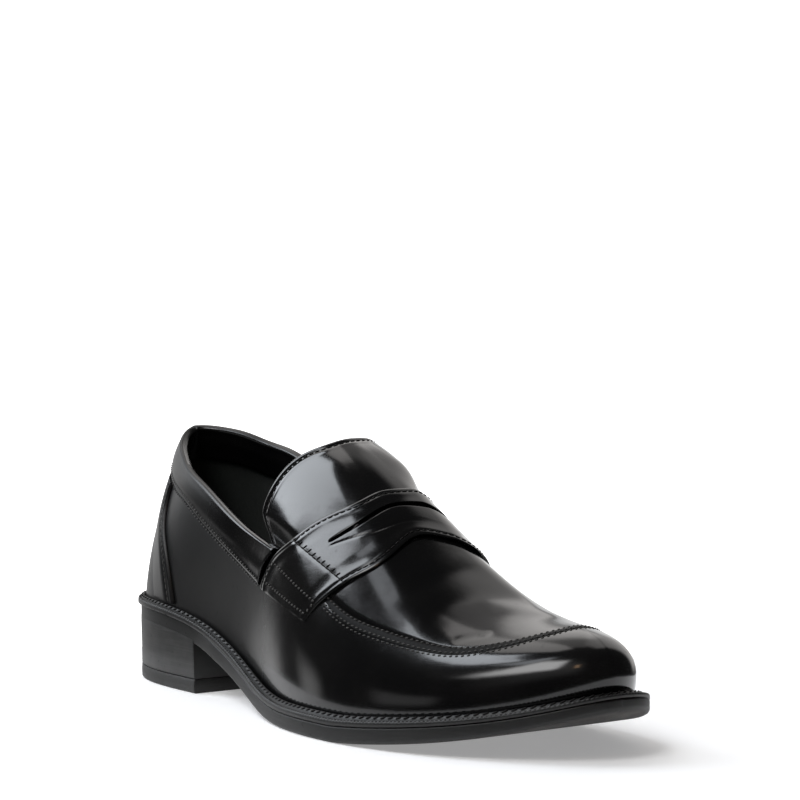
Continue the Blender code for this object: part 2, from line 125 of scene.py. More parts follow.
def cubic(x: Array, knots: Array, values: Array, step: Array, bend: Array) -> Array:
    """Value at x of a cubic through knots with these steps and bends."""
    i = np.clip(np.searchsorted(knots, x, side="right") - 1, 0, len(knots) - 2)
    h = step[i][..., None]
    a = (knots[i + 1] - x)[..., None]
    b = (x - knots[i])[..., None]
    out = bend[i] * a**3 / (6 * h) + bend[i + 1] * b**3 / (6 * h)
    out = out + (values[i] / h - bend[i] * h / 6) * a
    return out + (values[i + 1] / h - bend[i + 1] * h / 6) * b


@dataclass(frozen=True)
class Curve:
    """A natural cubic through the rows of a short table, held past its ends."""

    table: Table

    @cached_property
    def solved(self) -> tuple[Array, Array, Array, Array]:
        """Knots, values, steps and bends of the cubic."""
        rows = np.asarray(self.table, float)
        knots, values = rows[:, 0], rows[:, 1:]
        step = np.diff(knots)
        system = np.eye(len(knots))
        known = np.zeros_like(values)
        for i in range(1, len(knots) - 1):
            system[i, i - 1:i + 2] = step[i - 1], 2 * (step[i - 1] + step[i]), step[i]
            after = (values[i + 1] - values[i]) / step[i]
            known[i] = 6 * (after - (values[i] - values[i - 1]) / step[i - 1])
        return knots, values, step, np.linalg.solve(system, known)

    def __call__(self, x: Array | float) -> Array:
        """Value at x.

        Args:
            x: places in the table's first column.

        Returns:
            The other columns there, on a last axis unless there is only one.
        """
        knots, values = self.solved[:2]
        out = cubic(np.clip(np.asarray(x, float), knots[0], knots[-1]), *self.solved)
        return out[..., 0] if values.shape[1] == 1 else out


@dataclass(frozen=True)
class Last:
    """The foot form that the leather is drawn over, and the sole outline under it."""

    outline: Table = (
        (0, 0), (11, -20.8), (42, -31.6), (78, -32.6), (118, -36.9), (160, -47.5),
        (198, -51.5), (238, -44), (272, -25.6), (297, 5.4), (288, 32.5), (255, 47),
        (215, 50), (178, 42.5), (130, 29), (85, 28.5), (42, 32), (11, 21.5),
    )
    sole: Curve = Curve((
        (-5, 25.9, 7.2, 2.8, 3.7), (0, 25.7, 7.2, 2.8, 3.6), (40, 24.6, 7.3, 2.8, 3.4),
        (75, 20.6, 7.4, 2.8, 3.8), (100, 14.5, 7.0, 2.8, 4.1), (125, 7.0, 6.3, 2.8, 4.4),
        (150, 1.3, 6.1, 2.8, 4.8), (170, 0.0, 6.1, 2.8, 5.3), (205, 0.0, 6.2, 2.8, 5.7),
        (230, 2.2, 6.1, 2.7, 5.9), (260, 6.6, 5.6, 2.5, 6.1), (285, 13.2, 4.8, 2.3, 5.9),
        (300, 19.0, 4.3, 2.2, 5.5),
    ))
    crown: Curve = Curve((
        (0, 131), (40, 129), (90, 121), (120, 113.5), (135, 109), (150, 104), (165, 96.5),
        (185, 84), (200, 73.3), (214, 63.4), (225, 56.4), (237, 50.6), (250, 46.8),
        (262, 45.4), (277, 45), (300, 44.5),
    ))
    section: Curve = Curve((
        (0, 0.385, 0.256, -3.5, 0.256), (40, 0.493, 0.323, -0.46, 0.323),
        (60, 0.60, 0.395, 1.38, 0.395), (90, 0.68, 0.48, 3.0, 0.48), (130, 0.72, 0.50, 2.0, 0.60),
        (165, 0.66, 0.42, 2.5, 0.43), (210, 0.60, 0.45, 4.0, 0.28), (250, 0.64, 0.60, 4.0, 0.52),
        (300, 0.77, 0.80, 6.0, 0.84),
    ))
    spine: Curve = Curve((
        (0, 0), (40, 0), (110, 3), (170, 5), (205, 9), (230, 14), (250, 16), (262, 15), (300, 14),
    ))
    spine_back: float = 40.0
    spine_front: float = 262.0
    edge_points: int = 6000
    nudge: float = 1e-3
    halvings: int = 34

    @cached_property
    def edge(self) -> Array:
        """Plan points of the sole edge, clockwise from the heel back."""
        p = np.asarray(self.outline, float)
        size = len(p)
        step = np.linalg.norm(np.roll(p, -1, 0) - p, axis=1) ** 0.5
        knots = np.concatenate([[0], np.cumsum(step)])
        system = np.zeros((size, size))
        known = np.zeros((size, 2))
        for i in range(size):
            system[i, i - 1] += step[i - 1]
            system[i, i] += 2 * (step[i - 1] + step[i])
            system[i, (i + 1) % size] += step[i]
            after = (p[(i + 1) % size] - p[i]) / step[i]
            known[i] = 6 * (after - (p[i] - p[i - 1]) / step[i - 1])
        bend = np.linalg.solve(system, known)
        s = np.linspace(0, knots[-1], self.edge_points, endpoint=False)
        return cubic(s, knots, np.concatenate([p, p[:1]]), step, np.concatenate([bend, bend[:1]]))

    @cached_property
    def inward(self) -> Array:
        """Unit plan normals of the sole edge, toward the middle."""
        ahead = np.roll(self.edge, -1, 0) - np.roll(self.edge, 1, 0)
        ahead = ahead / np.linalg.norm(ahead, axis=1)[:, None]
        return np.stack([-ahead[:, 1], ahead[:, 0]], 1)

    @cached_property
    def middle(self) -> Array:
        """Middle of the sole's box, which is the frame's origin."""
        return (self.edge.min(0) + self.edge.max(0)) / 2

    @cached_property
    def feather(self) -> tuple[Array, Array]:
        """The two halves of the line where the upper meets the welt."""
        return self.halves(self.layers(self.edge[:, 0])[3])

    def layers(self, along: Array) -> tuple[Array, Array, Array, Array]:
        """Heights of the sole.

        Args:
            along: places from the heel back.

        Returns:
            Underside, outsole top, welt top, and the width from edge to feather line.
        """
        rows = self.sole(along)
        under = np.maximum(rows[..., 0], 0.0)
        return under, under + rows[..., 1], under + rows[..., 1] + rows[..., 2], rows[..., 3]

    def halves(self, inset: Array | float) -> tuple[Array, Array]:
        """The sole edge moved in, as its lateral and medial halves from back to tip."""
        loop = self.edge + self.inward * np.broadcast_to(inset, (len(self.edge),))[:, None]
        loop = np.roll(loop, -int(np.argmin(loop[:, 0])), 0)
        tip = int(np.argmax(loop[:, 0]))
        return loop[:tip + 1], np.concatenate([loop[tip:], loop[:1]])[::-1]

    @staticmethod
    def across_at(half: Array, along: Array) -> Array:
        """Across of a half outline at places along."""
        rising = np.maximum.accumulate(half[:, 0] + np.arange(len(half)) * TINY)
        return np.interp(along, rising, half[:, 1])

    def on_half(self, half: Array, turn: Array) -> Array:
        """Plan points of a half outline, with turn 0 at its tip and pi at its back."""
        along = half[0, 0] + (half[-1, 0] - half[0, 0]) * (1 + np.cos(turn)) / 2
        return np.stack([along, self.across_at(half, along)], -1)

    def point(self, turn: Array | float, down: Array | float) -> Array:
        """Point of the form.

        Args:
            turn: way round from the toe; past either end it goes on along the other side.
            down: share down from the crown, negative on the lateral side.

        Returns:
            Along, across and height.
        """
        turn, down = np.broadcast_arrays(np.asarray(turn, float), np.asarray(down, float))
        down = np.where((turn < 0) | (turn > np.pi), -down, down)
        turn = np.where(turn > np.pi, 2 * np.pi - turn, np.abs(turn))
        lateral = (down <= 0)[..., None]
        foot = np.where(
            lateral, self.on_half(self.feather[0], turn), self.on_half(self.feather[1], turn)
        )
        ridge = self.spine_back + (self.spine_front - self.spine_back) * (1 + np.cos(turn)) / 2
        top = np.stack([ridge, self.spine(ridge)], -1)
        up = 1 - np.abs(down)
        wall, roof, lean, medial_roof = np.moveaxis(self.section(foot[..., 0]), -1, 0)
        roof = np.where(down <= 0, roof, medial_roof)
        low_share = 3 * (1 - up) ** 2 * up
        high_share = 3 * (1 - up) * up**2
        reach = np.linalg.norm(top - foot, axis=-1)
        inward = -lean / reach * low_share + (1 - roof) * high_share + up**3
        plan = foot + (top - foot) * inward[..., None]
        low = self.layers(plan[..., 0])[2]
        rise = (self.crown(plan[..., 0]) - low) * (wall * low_share + high_share + up**3)
        return np.concatenate([plan, (low + rise)[..., None]], -1)

    def normal(self, turn: Array | float, down: Array | float) -> Array:
        """Outward unit normal of the form."""
        step = self.nudge
        turn, down = np.broadcast_arrays(np.asarray(turn, float), np.asarray(down, float))
        round_way = self.point(turn + step, down) - self.point(turn - step, down)
        down_way = self.point(turn, down + step) - self.point(turn, down - step)
        out = np.cross(down_way, round_way)
        size = np.linalg.norm(out, axis=-1, keepdims=True)
        return np.where(size > TINY, out / np.maximum(size, TINY), UP)

    def turn_at(self, along: Array | float, down: Array | float) -> Array:
        """The turn at which a line of one share down passes a place along."""
        along, down = np.broadcast_arrays(np.asarray(along, float), np.asarray(down, float))
        low = np.zeros(along.shape)
        high = np.full(along.shape, np.pi)
        for _ in range(self.halvings):
            mid = (low + high) / 2
            ahead = self.point(mid, down)[..., 0] > along
            low = np.where(ahead, mid, low)
            high = np.where(ahead, high, mid)
        return (low + high) / 2

    def down_scale(self, turn: Array, down: Array) -> Array:
        """Millimetres on the surface for one whole share down."""
        step = self.nudge
        ways = self.point(turn, down + step) - self.point(turn, down - step)
        return np.linalg.norm(ways, axis=-1) / (2 * step)

    def skin(self, turn: Array, down: Array, lift: Array | float) -> Run:
        """Points at a height over the form, and the normals there, both in the frame.

        Args:
            turn: way round from the toe.
            down: share down from the crown.
            lift: height over the form in millimetres.

        Returns:
            Points in metres and unit normals.
        """
        out = self.normal(turn, down)
        lift = np.broadcast_to(lift, out.shape[:-1])[..., None]
        return self.frame(self.point(turn, down) + out * lift), self.frame_way(out)

    def frame(self, points: Array) -> Array:
        """Along, across, height in millimetres to the frame in metres."""
        p = np.asarray(points, float)
        x = p[..., 1] - self.middle[1]
        return np.stack([x, self.middle[0] - p[..., 0], p[..., 2]], -1) * MM

    @staticmethod
    def frame_way(ways: Array) -> Array:
        """Directions in along, across, height to the frame's axes."""
        return np.stack([ways[..., 1], -ways[..., 0], ways[..., 2]], -1)


@dataclass(frozen=True)
class Pattern:
    """Lines that the cutter draws on the form: topline, seams, strap, tongue, backstay."""

    side_top: Curve = Curve((
        (0.0, 0.107, 0.107), (0.12, 0.13, 0.125), (0.232, 0.169, 0.162), (0.32, 0.224, 0.213),
        (0.42, 0.297, 0.282), (0.53, 0.393, 0.369), (0.64, 0.477, 0.442), (0.75, 0.543, 0.484),
        (0.90, 0.584, 0.493), (1.06, 0.621, 0.478), (1.20, 0.655, 0.49), (1.335, 0.660, 0.525),
        (1.50, 0.672, 0.585), (1.60, 0.686, 0.61), (1.70, 0.70, 0.62), (1.85, 0.707, 0.602),
        (2.00, 0.685, 0.558), (2.15, 0.644, 0.518), (2.30, 0.595, 0.484), (2.50, 0.524, 0.431),
        (2.70, 0.471, 0.406), (2.90, 0.429, 0.396), (3.1416, 0.396, 0.396),
    ))
    throat: float = 1.335
    band: Curve = Curve((
        (1.50, 0.80, 0.735), (1.60, 0.80, 0.735), (1.744, 0.80, 0.722), (1.87, 0.792, 0.695),
        (2.00, 0.771, 0.66), (2.15, 0.729, 0.624), (2.306, 0.669, 0.588), (2.50, 0.611, 0.55),
        (2.60, 0.585, 0.537), (2.80, 0.545, 0.52), (3.1416, 0.51, 0.51),
    ))
    strap: Curve = Curve((
        (-0.79, 132.5, 174.0), (-0.70, 140.2, 181.0), (-0.62, 150.6, 187.1),
        (-0.54, 157.8, 191.8), (-0.45, 164.2, 196.3), (-0.30, 172.0, 198.2),
        (-0.16, 174.4, 197.8), (-0.10, 175.8, 199.7), (0.0, 177.0, 203.7), (0.10, 176.8, 205.6),
        (0.20, 176.0, 205.8), (0.30, 174.0, 204.0), (0.45, 168.0, 199.5), (0.55, 160.0, 195.0),
        (0.65, 149.0, 187.5), (0.75, 136.0, 177.5),
    ))
    tongue: Curve = Curve((
        (0.0, 140.5), (0.20, 138.0), (0.31, 132.8), (0.45, 127.0), (0.56, 124.0), (0.62, 124.0),
        (0.66, 127.0), (0.70, 133.5), (0.74, 143.0),
    ))
    backstay: Curve = Curve((
        (0.50, 2.545), (0.60, 2.537), (0.69, 2.502), (0.826, 2.366), (0.923, 2.29), (1.0, 2.25),
    ))
    strap_ends: tuple[float, float] = (0.79, 0.75)
    wing_from: float = 0.5

    def top_of(self, way: Array) -> Array:
        """Share down of the side walls' top edge, on a way round both sides from the toe."""
        turn = np.where(way > np.pi, 2 * np.pi - way, np.abs(way))
        both = self.side_top(turn)
        return np.where((way >= 0) & (way <= np.pi), both[..., 0], both[..., 1])

    def strap_turn(self, last: Last, share: Array, down: Array) -> Array:
        """Turn at a share of the strap's width, from its rear edge, on a line down."""
        rear, fore = np.moveaxis(self.strap(down), -1, 0)
        return last.turn_at(rear + (fore - rear) * share, down)

    def wing_turn(self, last: Last, down: Array, side: Side, back: float) -> Array:
        """Turn a little behind the strap wing's rear edge.

        Args:
            last: the foot form.
            down: shares down, without sign.
            side: side of the shoe.
            back: millimetres behind the edge.

        Returns:
            The turns.
        """
        down = side.sign * np.clip(down, self.wing_from, self.strap_ends[side.column])
        return last.turn_at(self.strap(down)[..., 0] - back, down)


class Value:
    """A shader socket that takes part in arithmetic."""

    def __init__(self, maker: NodeMaker, socket: bpy.types.NodeSocket) -> None:
        """Wraps an output socket of the maker's tree."""
        self.maker = maker
        self.socket = socket

    def maths(self, operation: str, *operands: Value | float) -> Value:
        """Result of a Math node on these operands."""
        return self.maker.node(
            "ShaderNodeMath", {"operation": operation}, dict(enumerate(operands))
        )

    def __add__(self, other: Value | float) -> Value:
        """Sum."""
        return self.maths("ADD", self, other)

    def __radd__(self, other: float) -> Value:
        """Sum, with the number first."""
        return self.maths("ADD", other, self)

    def __sub__(self, other: Value | float) -> Value:
        """Difference."""
        return self.maths("SUBTRACT", self, other)

    def __rsub__(self, other: float) -> Value:
        """Difference, with the number first."""
        return self.maths("SUBTRACT", other, self)

    def __mul__(self, other: Value | float) -> Value:
        """Product."""
        return self.maths("MULTIPLY", self, other)

    def within(self, low: float, high: float, soft: float) -> Value:
        """1 between low and high, fading to 0 over soft on either side."""
        return self.above(low - soft, low + soft) - self.above(high - soft, high + soft)

    def tinted(self, colour: Sequence[float]) -> Value:
        """Colour scaled by this value."""
        return self.maker.node(
            "ShaderNodeVectorMath", {"operation": "SCALE"}, {0: colour, "Scale": self}
        )

    def plus(self, other: Value) -> Value:
        """Sum of two colours."""
        return self.maker.node("ShaderNodeVectorMath", {"operation": "ADD"}, {0: self, 1: other})

    def above(self, low: float, high: float) -> Value:
        """Eased step from 0 at low to 1 at high."""
        return self.maker.node(
            "ShaderNodeMapRange",
            {"interpolation_type": "SMOOTHSTEP", "clamp": True},
            {"Value": self, "From Min": low, "From Max": high},
        )


class NodeMaker:
    """Adds nodes to one node tree."""

    def __init__(self, tree: bpy.types.NodeTree) -> None:
        """Takes the tree of a material or world."""
        self.tree = tree

    def node(
        self,
        kind: str,
        settings: dict[str, object] | None = None,
        inputs: dict[str | int, object] | None = None,
        output: str | int = 0,
    ) -> Value:
        """Adds a node.

        Args:
            kind: node type.
            settings: properties set before the sockets.
            inputs: a number, colour or Value for each socket, by name or place.
            output: the socket that is wanted.

        Returns:
            That output.
        """
        made = self.tree.nodes.new(kind)
        for name, value in (settings or {}).items():
            setattr(made, name, value)
        self.feed(made, inputs or {})
        return Value(self, made.outputs[output])

    def feed(self, made: bpy.types.Node, inputs: dict[str | int, object]) -> None:
        """Sets or links a node's sockets."""
        for key, value in inputs.items():
            if isinstance(value, Value):
                self.tree.links.new(value.socket, made.inputs[key])
            else:
                made.inputs[key].default_value = value

    def places(self, stretch: tuple[float, float, float] = (1, 1, 1)) -> Value:
        """Object coordinates, stretched."""
        own = self.node("ShaderNodeTexCoord", output="Object")
        if stretch == (1, 1, 1):
            return own
        return self.node("ShaderNodeMapping", {}, {"Vector": own, "Scale": stretch})

    def noise(self, scale: float, detail: float = 2.0, where: Value | None = None) -> Value:
        """Soft noise from 0 to 1, with its scale in cells for each metre."""
        where = where or self.places()
        return self.node(
            "ShaderNodeTexNoise", {}, {"Vector": where, "Scale": scale, "Detail": detail}
        )

    def blend(self, mask: Value, low: Sequence[float], high: Sequence[float]) -> Value:
        """Colour between two by a mask."""
        return self.node(
            "ShaderNodeMix",
            {"data_type": "RGBA"},
            {0: mask, 6: (*low, 1.0), 7: (*high, 1.0)},
            output=2,
        )

    def bump(self, height: Value, depth: float, below: Value | None = None) -> Value:
        """Normal of a height map, depth in metres for heights from 0 to 1."""
        inputs: dict[str | int, object] = {"Height": height, "Distance": depth, "Strength": 1.0}
        if below:
            inputs["Normal"] = below
        return self.node("ShaderNodeBump", {}, inputs)


@dataclass(frozen=True)
class Finish:
    """A surface finish, from which its material is made once."""

    name: str

    def sockets(self, maker: NodeMaker) -> dict[str, object]:
        """Values for the shader's sockets."""
        raise NotImplementedError

    @lru_cache
    def material(self) -> bpy.types.Material:
        """The finish's material."""
        made = bpy.data.materials.new(self.name)
        made.use_nodes = True
        maker = NodeMaker(made.node_tree)
        maker.feed(made.node_tree.nodes["Principled BSDF"], self.sockets(maker))
        return made


@dataclass(frozen=True)
class Leather(Finish):
    """Polished calf: a soft body under a thin clear polish, with pores and slow ripples.

    Where dull is above 0, the finish loses its polish towards the heel.
    """

    dark: tuple[float, float, float] = (0.0025, 0.0025, 0.0028)
    light: tuple[float, float, float] = (0.005, 0.0048, 0.0048)
    rough: float = 0.19
    polish: float = 0.3
    polish_rough: float = 0.06
    gloss: float = 0.42
    dull: float = 0.0
    heel_fade: tuple[float, float] = (-0.025, 0.055)
    bared: float = 2.5
    cloud: float = 45.0
    fibre: float = 2600.0
    rub: float = 320.0
    ripple: float = 95.0
    pore: float = 1000.0
    pore_depth: float = 5e-6
    ripple_depth: float = 6e-5
    streak: tuple[float, float, float] = (330.0, 110.0, 330.0)
    streak_depth: float = 2.2e-5

    def sockets(self, maker: NodeMaker) -> dict[str, object]:
        """Values for the shader's sockets."""
        cloud = maker.noise(self.cloud, 3.0)
        pores = maker.node(
            "ShaderNodeTexVoronoi", {"feature": "SMOOTH_F1"}, {"Scale": self.pore}
        )
        fibres = maker.noise(self.fibre, 2.0)
        rub = maker.noise(self.rub, 5.0).above(0.62, 0.78)
        ripple = maker.bump(maker.noise(self.ripple, 1.5), self.ripple_depth)
        streaks = maker.noise(1.0, 3.0, maker.places(self.streak))
        drawn = maker.bump(streaks, self.streak_depth, ripple)
        skin = maker.bump(pores * 0.6 + fibres * 0.4, self.pore_depth, drawn)
        back = maker.node("ShaderNodeSeparateXYZ", {}, {0: maker.places()}, output="Y")
        worn = back.above(*self.heel_fade) * self.dull
        return {
            "Base Color": maker.blend(cloud.above(0.3, 0.75), self.dark, self.light),
            "Roughness": self.rough + cloud * 0.05 + rub * 0.08 + worn,
            "Coat Weight": (self.polish - rub * 0.15) * (1.0 - worn * self.bared),
            "Coat Roughness": self.polish_rough,
            "IOR": 1.5,
            "Specular IOR Level": self.gloss,
            "Normal": skin,
        }


@dataclass(frozen=True)
class Edge(Finish):
    """Inked and brushed leather edge, with fine lines round the shoe and small knocks."""

    dark: tuple[float, float, float] = (0.003, 0.003, 0.003)
    light: tuple[float, float, float] = (0.008, 0.0078, 0.0076)
    rough: float = 0.45
    lines: float = 1500.0
    depth: float = 4e-5

    def sockets(self, maker: NodeMaker) -> dict[str, object]:
        """Values for the shader's sockets."""
        brushed = maker.noise(1.0, 3.0, maker.places((28.0, 28.0, self.lines)))
        patches = maker.noise(130.0, 4.0)
        knocks = maker.noise(420.0, 2.0).above(0.66, 0.74)
        tone = brushed.above(0.35, 0.7) * 0.55 + patches.above(0.35, 0.7) * 0.3 + knocks * 0.35
        return {
            "Base Color": maker.blend(tone, self.dark, self.light),
            "Roughness": self.rough + brushed * 0.14 + knocks * 0.15,
            "Normal": maker.bump(brushed * 0.7 + knocks * 0.5, self.depth),
        }


@dataclass(frozen=True)
class Tread(Finish):
    """Plain dark sole face, matt, with a fine tooth and rubbed patches."""

    dark: tuple[float, float, float] = (0.014, 0.013, 0.012)
    light: tuple[float, float, float] = (0.05, 0.047, 0.043)
    rough: float = 0.6
    depth: float = 5e-5

    def sockets(self, maker: NodeMaker) -> dict[str, object]:
        """Values for the shader's sockets."""
        tooth = maker.noise(1100.0, 3.0)
        rubbed = maker.noise(40.0, 4.0).above(0.4, 0.75)
        return {
            "Base Color": maker.blend(tooth * 0.4 + rubbed * 0.6, self.dark, self.light),
            "Roughness": self.rough + tooth * 0.2 - rubbed * 0.12,
            "Normal": maker.bump(tooth, self.depth),
        }


@dataclass(frozen=True)
class Thread(Finish):
    """Waxed black sewing thread with a twist."""

    dark: tuple[float, float, float] = (0.004, 0.004, 0.004)
    light: tuple[float, float, float] = (0.022, 0.021, 0.020)
    rough: float = 0.45
    gloss: float = 0.12
    depth: float = 6e-5

    def sockets(self, maker: NodeMaker) -> dict[str, object]:
        """Values for the shader's sockets."""
        twist = maker.noise(2400.0, 2.0)
        return {
            "Base Color": maker.blend(twist, self.dark, self.light),
            "Roughness": self.rough + twist * 0.2,
            "Specular IOR Level": self.gloss,
            "Normal": maker.bump(twist, self.depth),
        }


@dataclass(frozen=True)
class Lining(Finish):
    """Brushed green-black textile inside the shoe."""

    dark: tuple[float, float, float] = (0.004, 0.006, 0.005)
    light: tuple[float, float, float] = (0.013, 0.018, 0.016)
    weave: float = 1400.0
    depth: float = 6e-5

    def sockets(self, maker: NodeMaker) -> dict[str, object]:
        """Values for the shader's sockets."""
        warp = maker.noise(1.0, 2.0, maker.places((self.weave, self.weave, self.weave * 0.25)))
        nap = maker.noise(210.0, 4.0)
        return {
            "Base Color": maker.blend(warp * 0.5 + nap * 0.5, self.dark, self.light),
            "Roughness": 0.82 + warp * 0.12,
            "Sheen Weight": 0.1,
            "Sheen Roughness": 0.5,
            "Normal": maker.bump(warp, self.depth),
        }


@dataclass(frozen=True)
class Ground(Finish):
    """Plain white table."""

    tone: tuple[float, float, float] = (0.86, 0.86, 0.865)
    lift: float = 0.34

    def sockets(self, maker: NodeMaker) -> dict[str, object]:
        """Values for the shader's sockets."""
        return {
            "Base Color": (*self.tone, 1.0),
            "Roughness": 0.75,
            "Specular IOR Level": 0.0,
            "Emission Color": (*self.tone, 1.0),
            "Emission Strength": self.lift,
        }


UPPER_LEATHER = Leather("upper_leather", rough=0.11, dull=0.32)
APRON_LEATHER = Leather("apron_leather", rough=0.09)
STRAP_LEATHER = Leather("strap_leather", rough=0.10, pore_depth=4e-6)
BAND_LEATHER = Leather("band_leather", rough=0.10, polish=0.10, polish_rough=0.16, gloss=0.3,
                       dull=0.26, heel_fade=(0.04, 0.09), streak=(120.0, 420.0, 60.0))
SEAM_LEATHER = Leather("seam_leather", dark=(0.0015, 0.0015, 0.0015), light=(0.003, 0.003, 0.003),
                       rough=0.5, polish=0.0, gloss=0.12)
FACING_LEATHER = Leather("facing_leather", rough=0.22)
SOLE_EDGE = Edge("sole_edge")
# Painted shade: the heel breast faces the shaded arch, so its colour is darker than the heel's sides.
BREAST_SHADE = Edge("heel_breast_painted_shade", dark=(0.002, 0.002, 0.002), light=(0.006, 0.006, 0.006))
HEEL_EDGE = Edge("heel_edge", dark=(0.012, 0.012, 0.012), light=(0.042, 0.041, 0.04))
WELT_EDGE = Edge("welt_leather", light=(0.012, 0.0115, 0.011), rough=0.4, lines=900.0)
SOLE_FACE = Tread("sole_face")
TOP_RUBBER = Tread("heel_rubber", light=(0.035, 0.035, 0.035), rough=0.55)
FOOTBED = Leather("footbed_leather", dark=(0.010, 0.011, 0.010), light=(0.026, 0.027, 0.025),
                  rough=0.6, polish=0.05, polish_rough=0.3)
THREAD = Thread("black_thread")
ROW_THREAD = Thread("grey_thread", dark=(0.03, 0.03, 0.03), light=(0.16, 0.157, 0.15))
TEXTILE = Lining("lining_textile")


def sheet(net: Array, facing: Array, gap: int | None = None) -> bmesh.types.BMesh:
    """A grid laid on a net of points, turned to face outward.

    Args:
        net: points in metres, columns by rows.
        facing: outward directions, one for each point or one for all.
        gap: row whose faces, up to the next row, are left open.

    Returns:
        The mesh, welded where the net's points meet.
    """
    across = net[1:, :-1] - net[:-1, :-1]
    upward = net[:-1, 1:] - net[:-1, :-1]
    facing = np.broadcast_to(facing, net.shape)[:-1, :-1]
    if (np.cross(across, upward) * facing).sum() < 0:
        net = net[::-1]
    columns, rows = net.shape[:2]
    bm = bmesh.new()
    bmesh.ops.create_grid(bm, x_segments=columns - 1, y_segments=rows - 1, size=0.5)
    if gap is not None:
        middle = (gap + 0.5) / (rows - 1) - 0.5
        strip = [f for f in bm.faces if abs(f.calc_center_median().y - middle) < 0.2 / rows]
        bmesh.ops.delete(bm, geom=strip, context="FACES_ONLY")
    for vert in bm.verts:
        column = round((vert.co.x + 0.5) * (columns - 1))
        vert.co = net[column, round((vert.co.y + 0.5) * (rows - 1))]
    bmesh.ops.remove_doubles(bm, verts=bm.verts, dist=WELD)
    bmesh.ops.dissolve_degenerate(bm, dist=WELD / 4, edges=bm.edges)
    return bm


def place(
    name: str,
    bm: bmesh.types.BMesh,
    finishes: Sequence[Finish],
    stands_for: str | None = None,
) -> bpy.types.Object:
    """Puts a mesh in the scene as a piece of the shoe.

    Args:
        name: piece name.
        bm: its mesh, which is freed.
        finishes: its materials in order.
        stands_for: the CAD node that it replaces.

    Returns:
        The object, riding on the shoe's body.
    """
    mesh = bpy.data.meshes.new(name)
    bm.to_mesh(mesh)
    bm.free()
    mesh.shade_smooth()
    obj = bpy.data.objects.new(name, mesh)
    bpy.context.scene.collection.objects.link(obj)
    for finish in finishes:
        mesh.materials.append(finish.material())
    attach(obj, BODY)
    if stands_for:
        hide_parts(stands_for)
    LOG.info("%s: %d faces", name, len(mesh.polygons))
    return obj


def thicken(obj: bpy.types.Object, wall: float, lined: bool = False) -> None:
    """Gives a sheet its leather thickness inward, with the second material inside if lined."""
    solid = obj.modifiers.new("thickness", "SOLIDIFY")
    solid.thickness = wall * MM
    solid.offset = -1.0
    solid.material_offset = 1 if lined else 0


def soften(obj: bpy.types.Object, width: float) -> None:
    """Rounds a piece's sharp edges."""
    bevel = obj.modifiers.new("edge", "BEVEL")
    bevel.limit_method = "ANGLE"
    bevel.angle_limit = BEVEL_ANGLE
    bevel.width = width * MM
    bevel.segments = BEVEL_SEGMENTS
    bevel.profile = 0.5


@dataclass(frozen=True)
class Stitch:
    """One stitch of a sewn row, in millimetres, and its slant off the row in degrees."""

    length: float = 2.1
    gap: float = 0.55
    width: float = 0.55
    height: float = 0.5
    slant: float = 0.0

    def sew(self, bm: bmesh.types.BMesh, run: Run) -> None:
        """Lays stitches along a run of points.

        Args:
            bm: the mesh that takes them.
            run: points in metres and the normals there.
        """
        points, normals = run
        way = trail(points)
        count = max(1, round(way[-1] / ((self.length + self.gap) * MM)))
        for k in range(count):
            spot, ahead, behind, out = (
                np.array([np.interp((k + share) * way[-1] / count, way, c) for c in source.T])
                for share, source in ((0.5, points), (0.9, points), (0.1, points), (0.5, normals))
            )
            self.lay(bm, spot, ahead - behind, out)

    def lay(self, bm: bmesh.types.BMesh, spot: Array, way: Array, out: Array) -> None:
        """Lays one stitch at a spot, along a way, on a surface that faces out."""
        up = Vector(out).normalized()
        turned = Matrix.Rotation(math.radians(self.slant), 3, up)
        side = turned @ Vector(way).cross(up).normalized()
        along = up.cross(side)
        sizes = (self.width, self.height, self.length)
        columns = [axis * size * MM / 2 for axis, size in zip((side, up, along), sizes)]
        matrix = Matrix.Translation(Vector(spot)) @ Matrix(columns).transposed().to_4x4()
        bmesh.ops.create_uvsphere(bm, u_segments=6, v_segments=5, radius=1.0, matrix=matrix)


def sewn(name: str, rows: Sequence[tuple[Stitch, Run]],
         thread: Thread = THREAD) -> bpy.types.Object:
    """A piece of thread: several rows of stitches.

    Args:
        name: piece name.
        rows: the stitch and the run of each row.
        thread: finish of the thread.

    Returns:
        The object.
    """
    bm = bmesh.new()
    for stitch, run in rows:
        stitch.sew(bm, run)
    return place(name, bm, [thread])


@dataclass(frozen=True)
class Crease:
    """A soft trough, or a ridge where its depth is negative, between two plan points."""

    start: tuple[float, float]
    end: tuple[float, float]
    width: float
    depth: float

    def lift(self, plan: Array) -> Array:
        """Height that the crease gives at plan points along, across."""
        a, b = np.array(self.start), np.array(self.end)
        way = b - a
        share = np.clip(((plan - a) @ way) / (way @ way), 0, 1)
        off = np.linalg.norm(plan - (a + share[..., None] * way), axis=-1)
        return -self.depth * np.exp(-((off / self.width) ** 2))


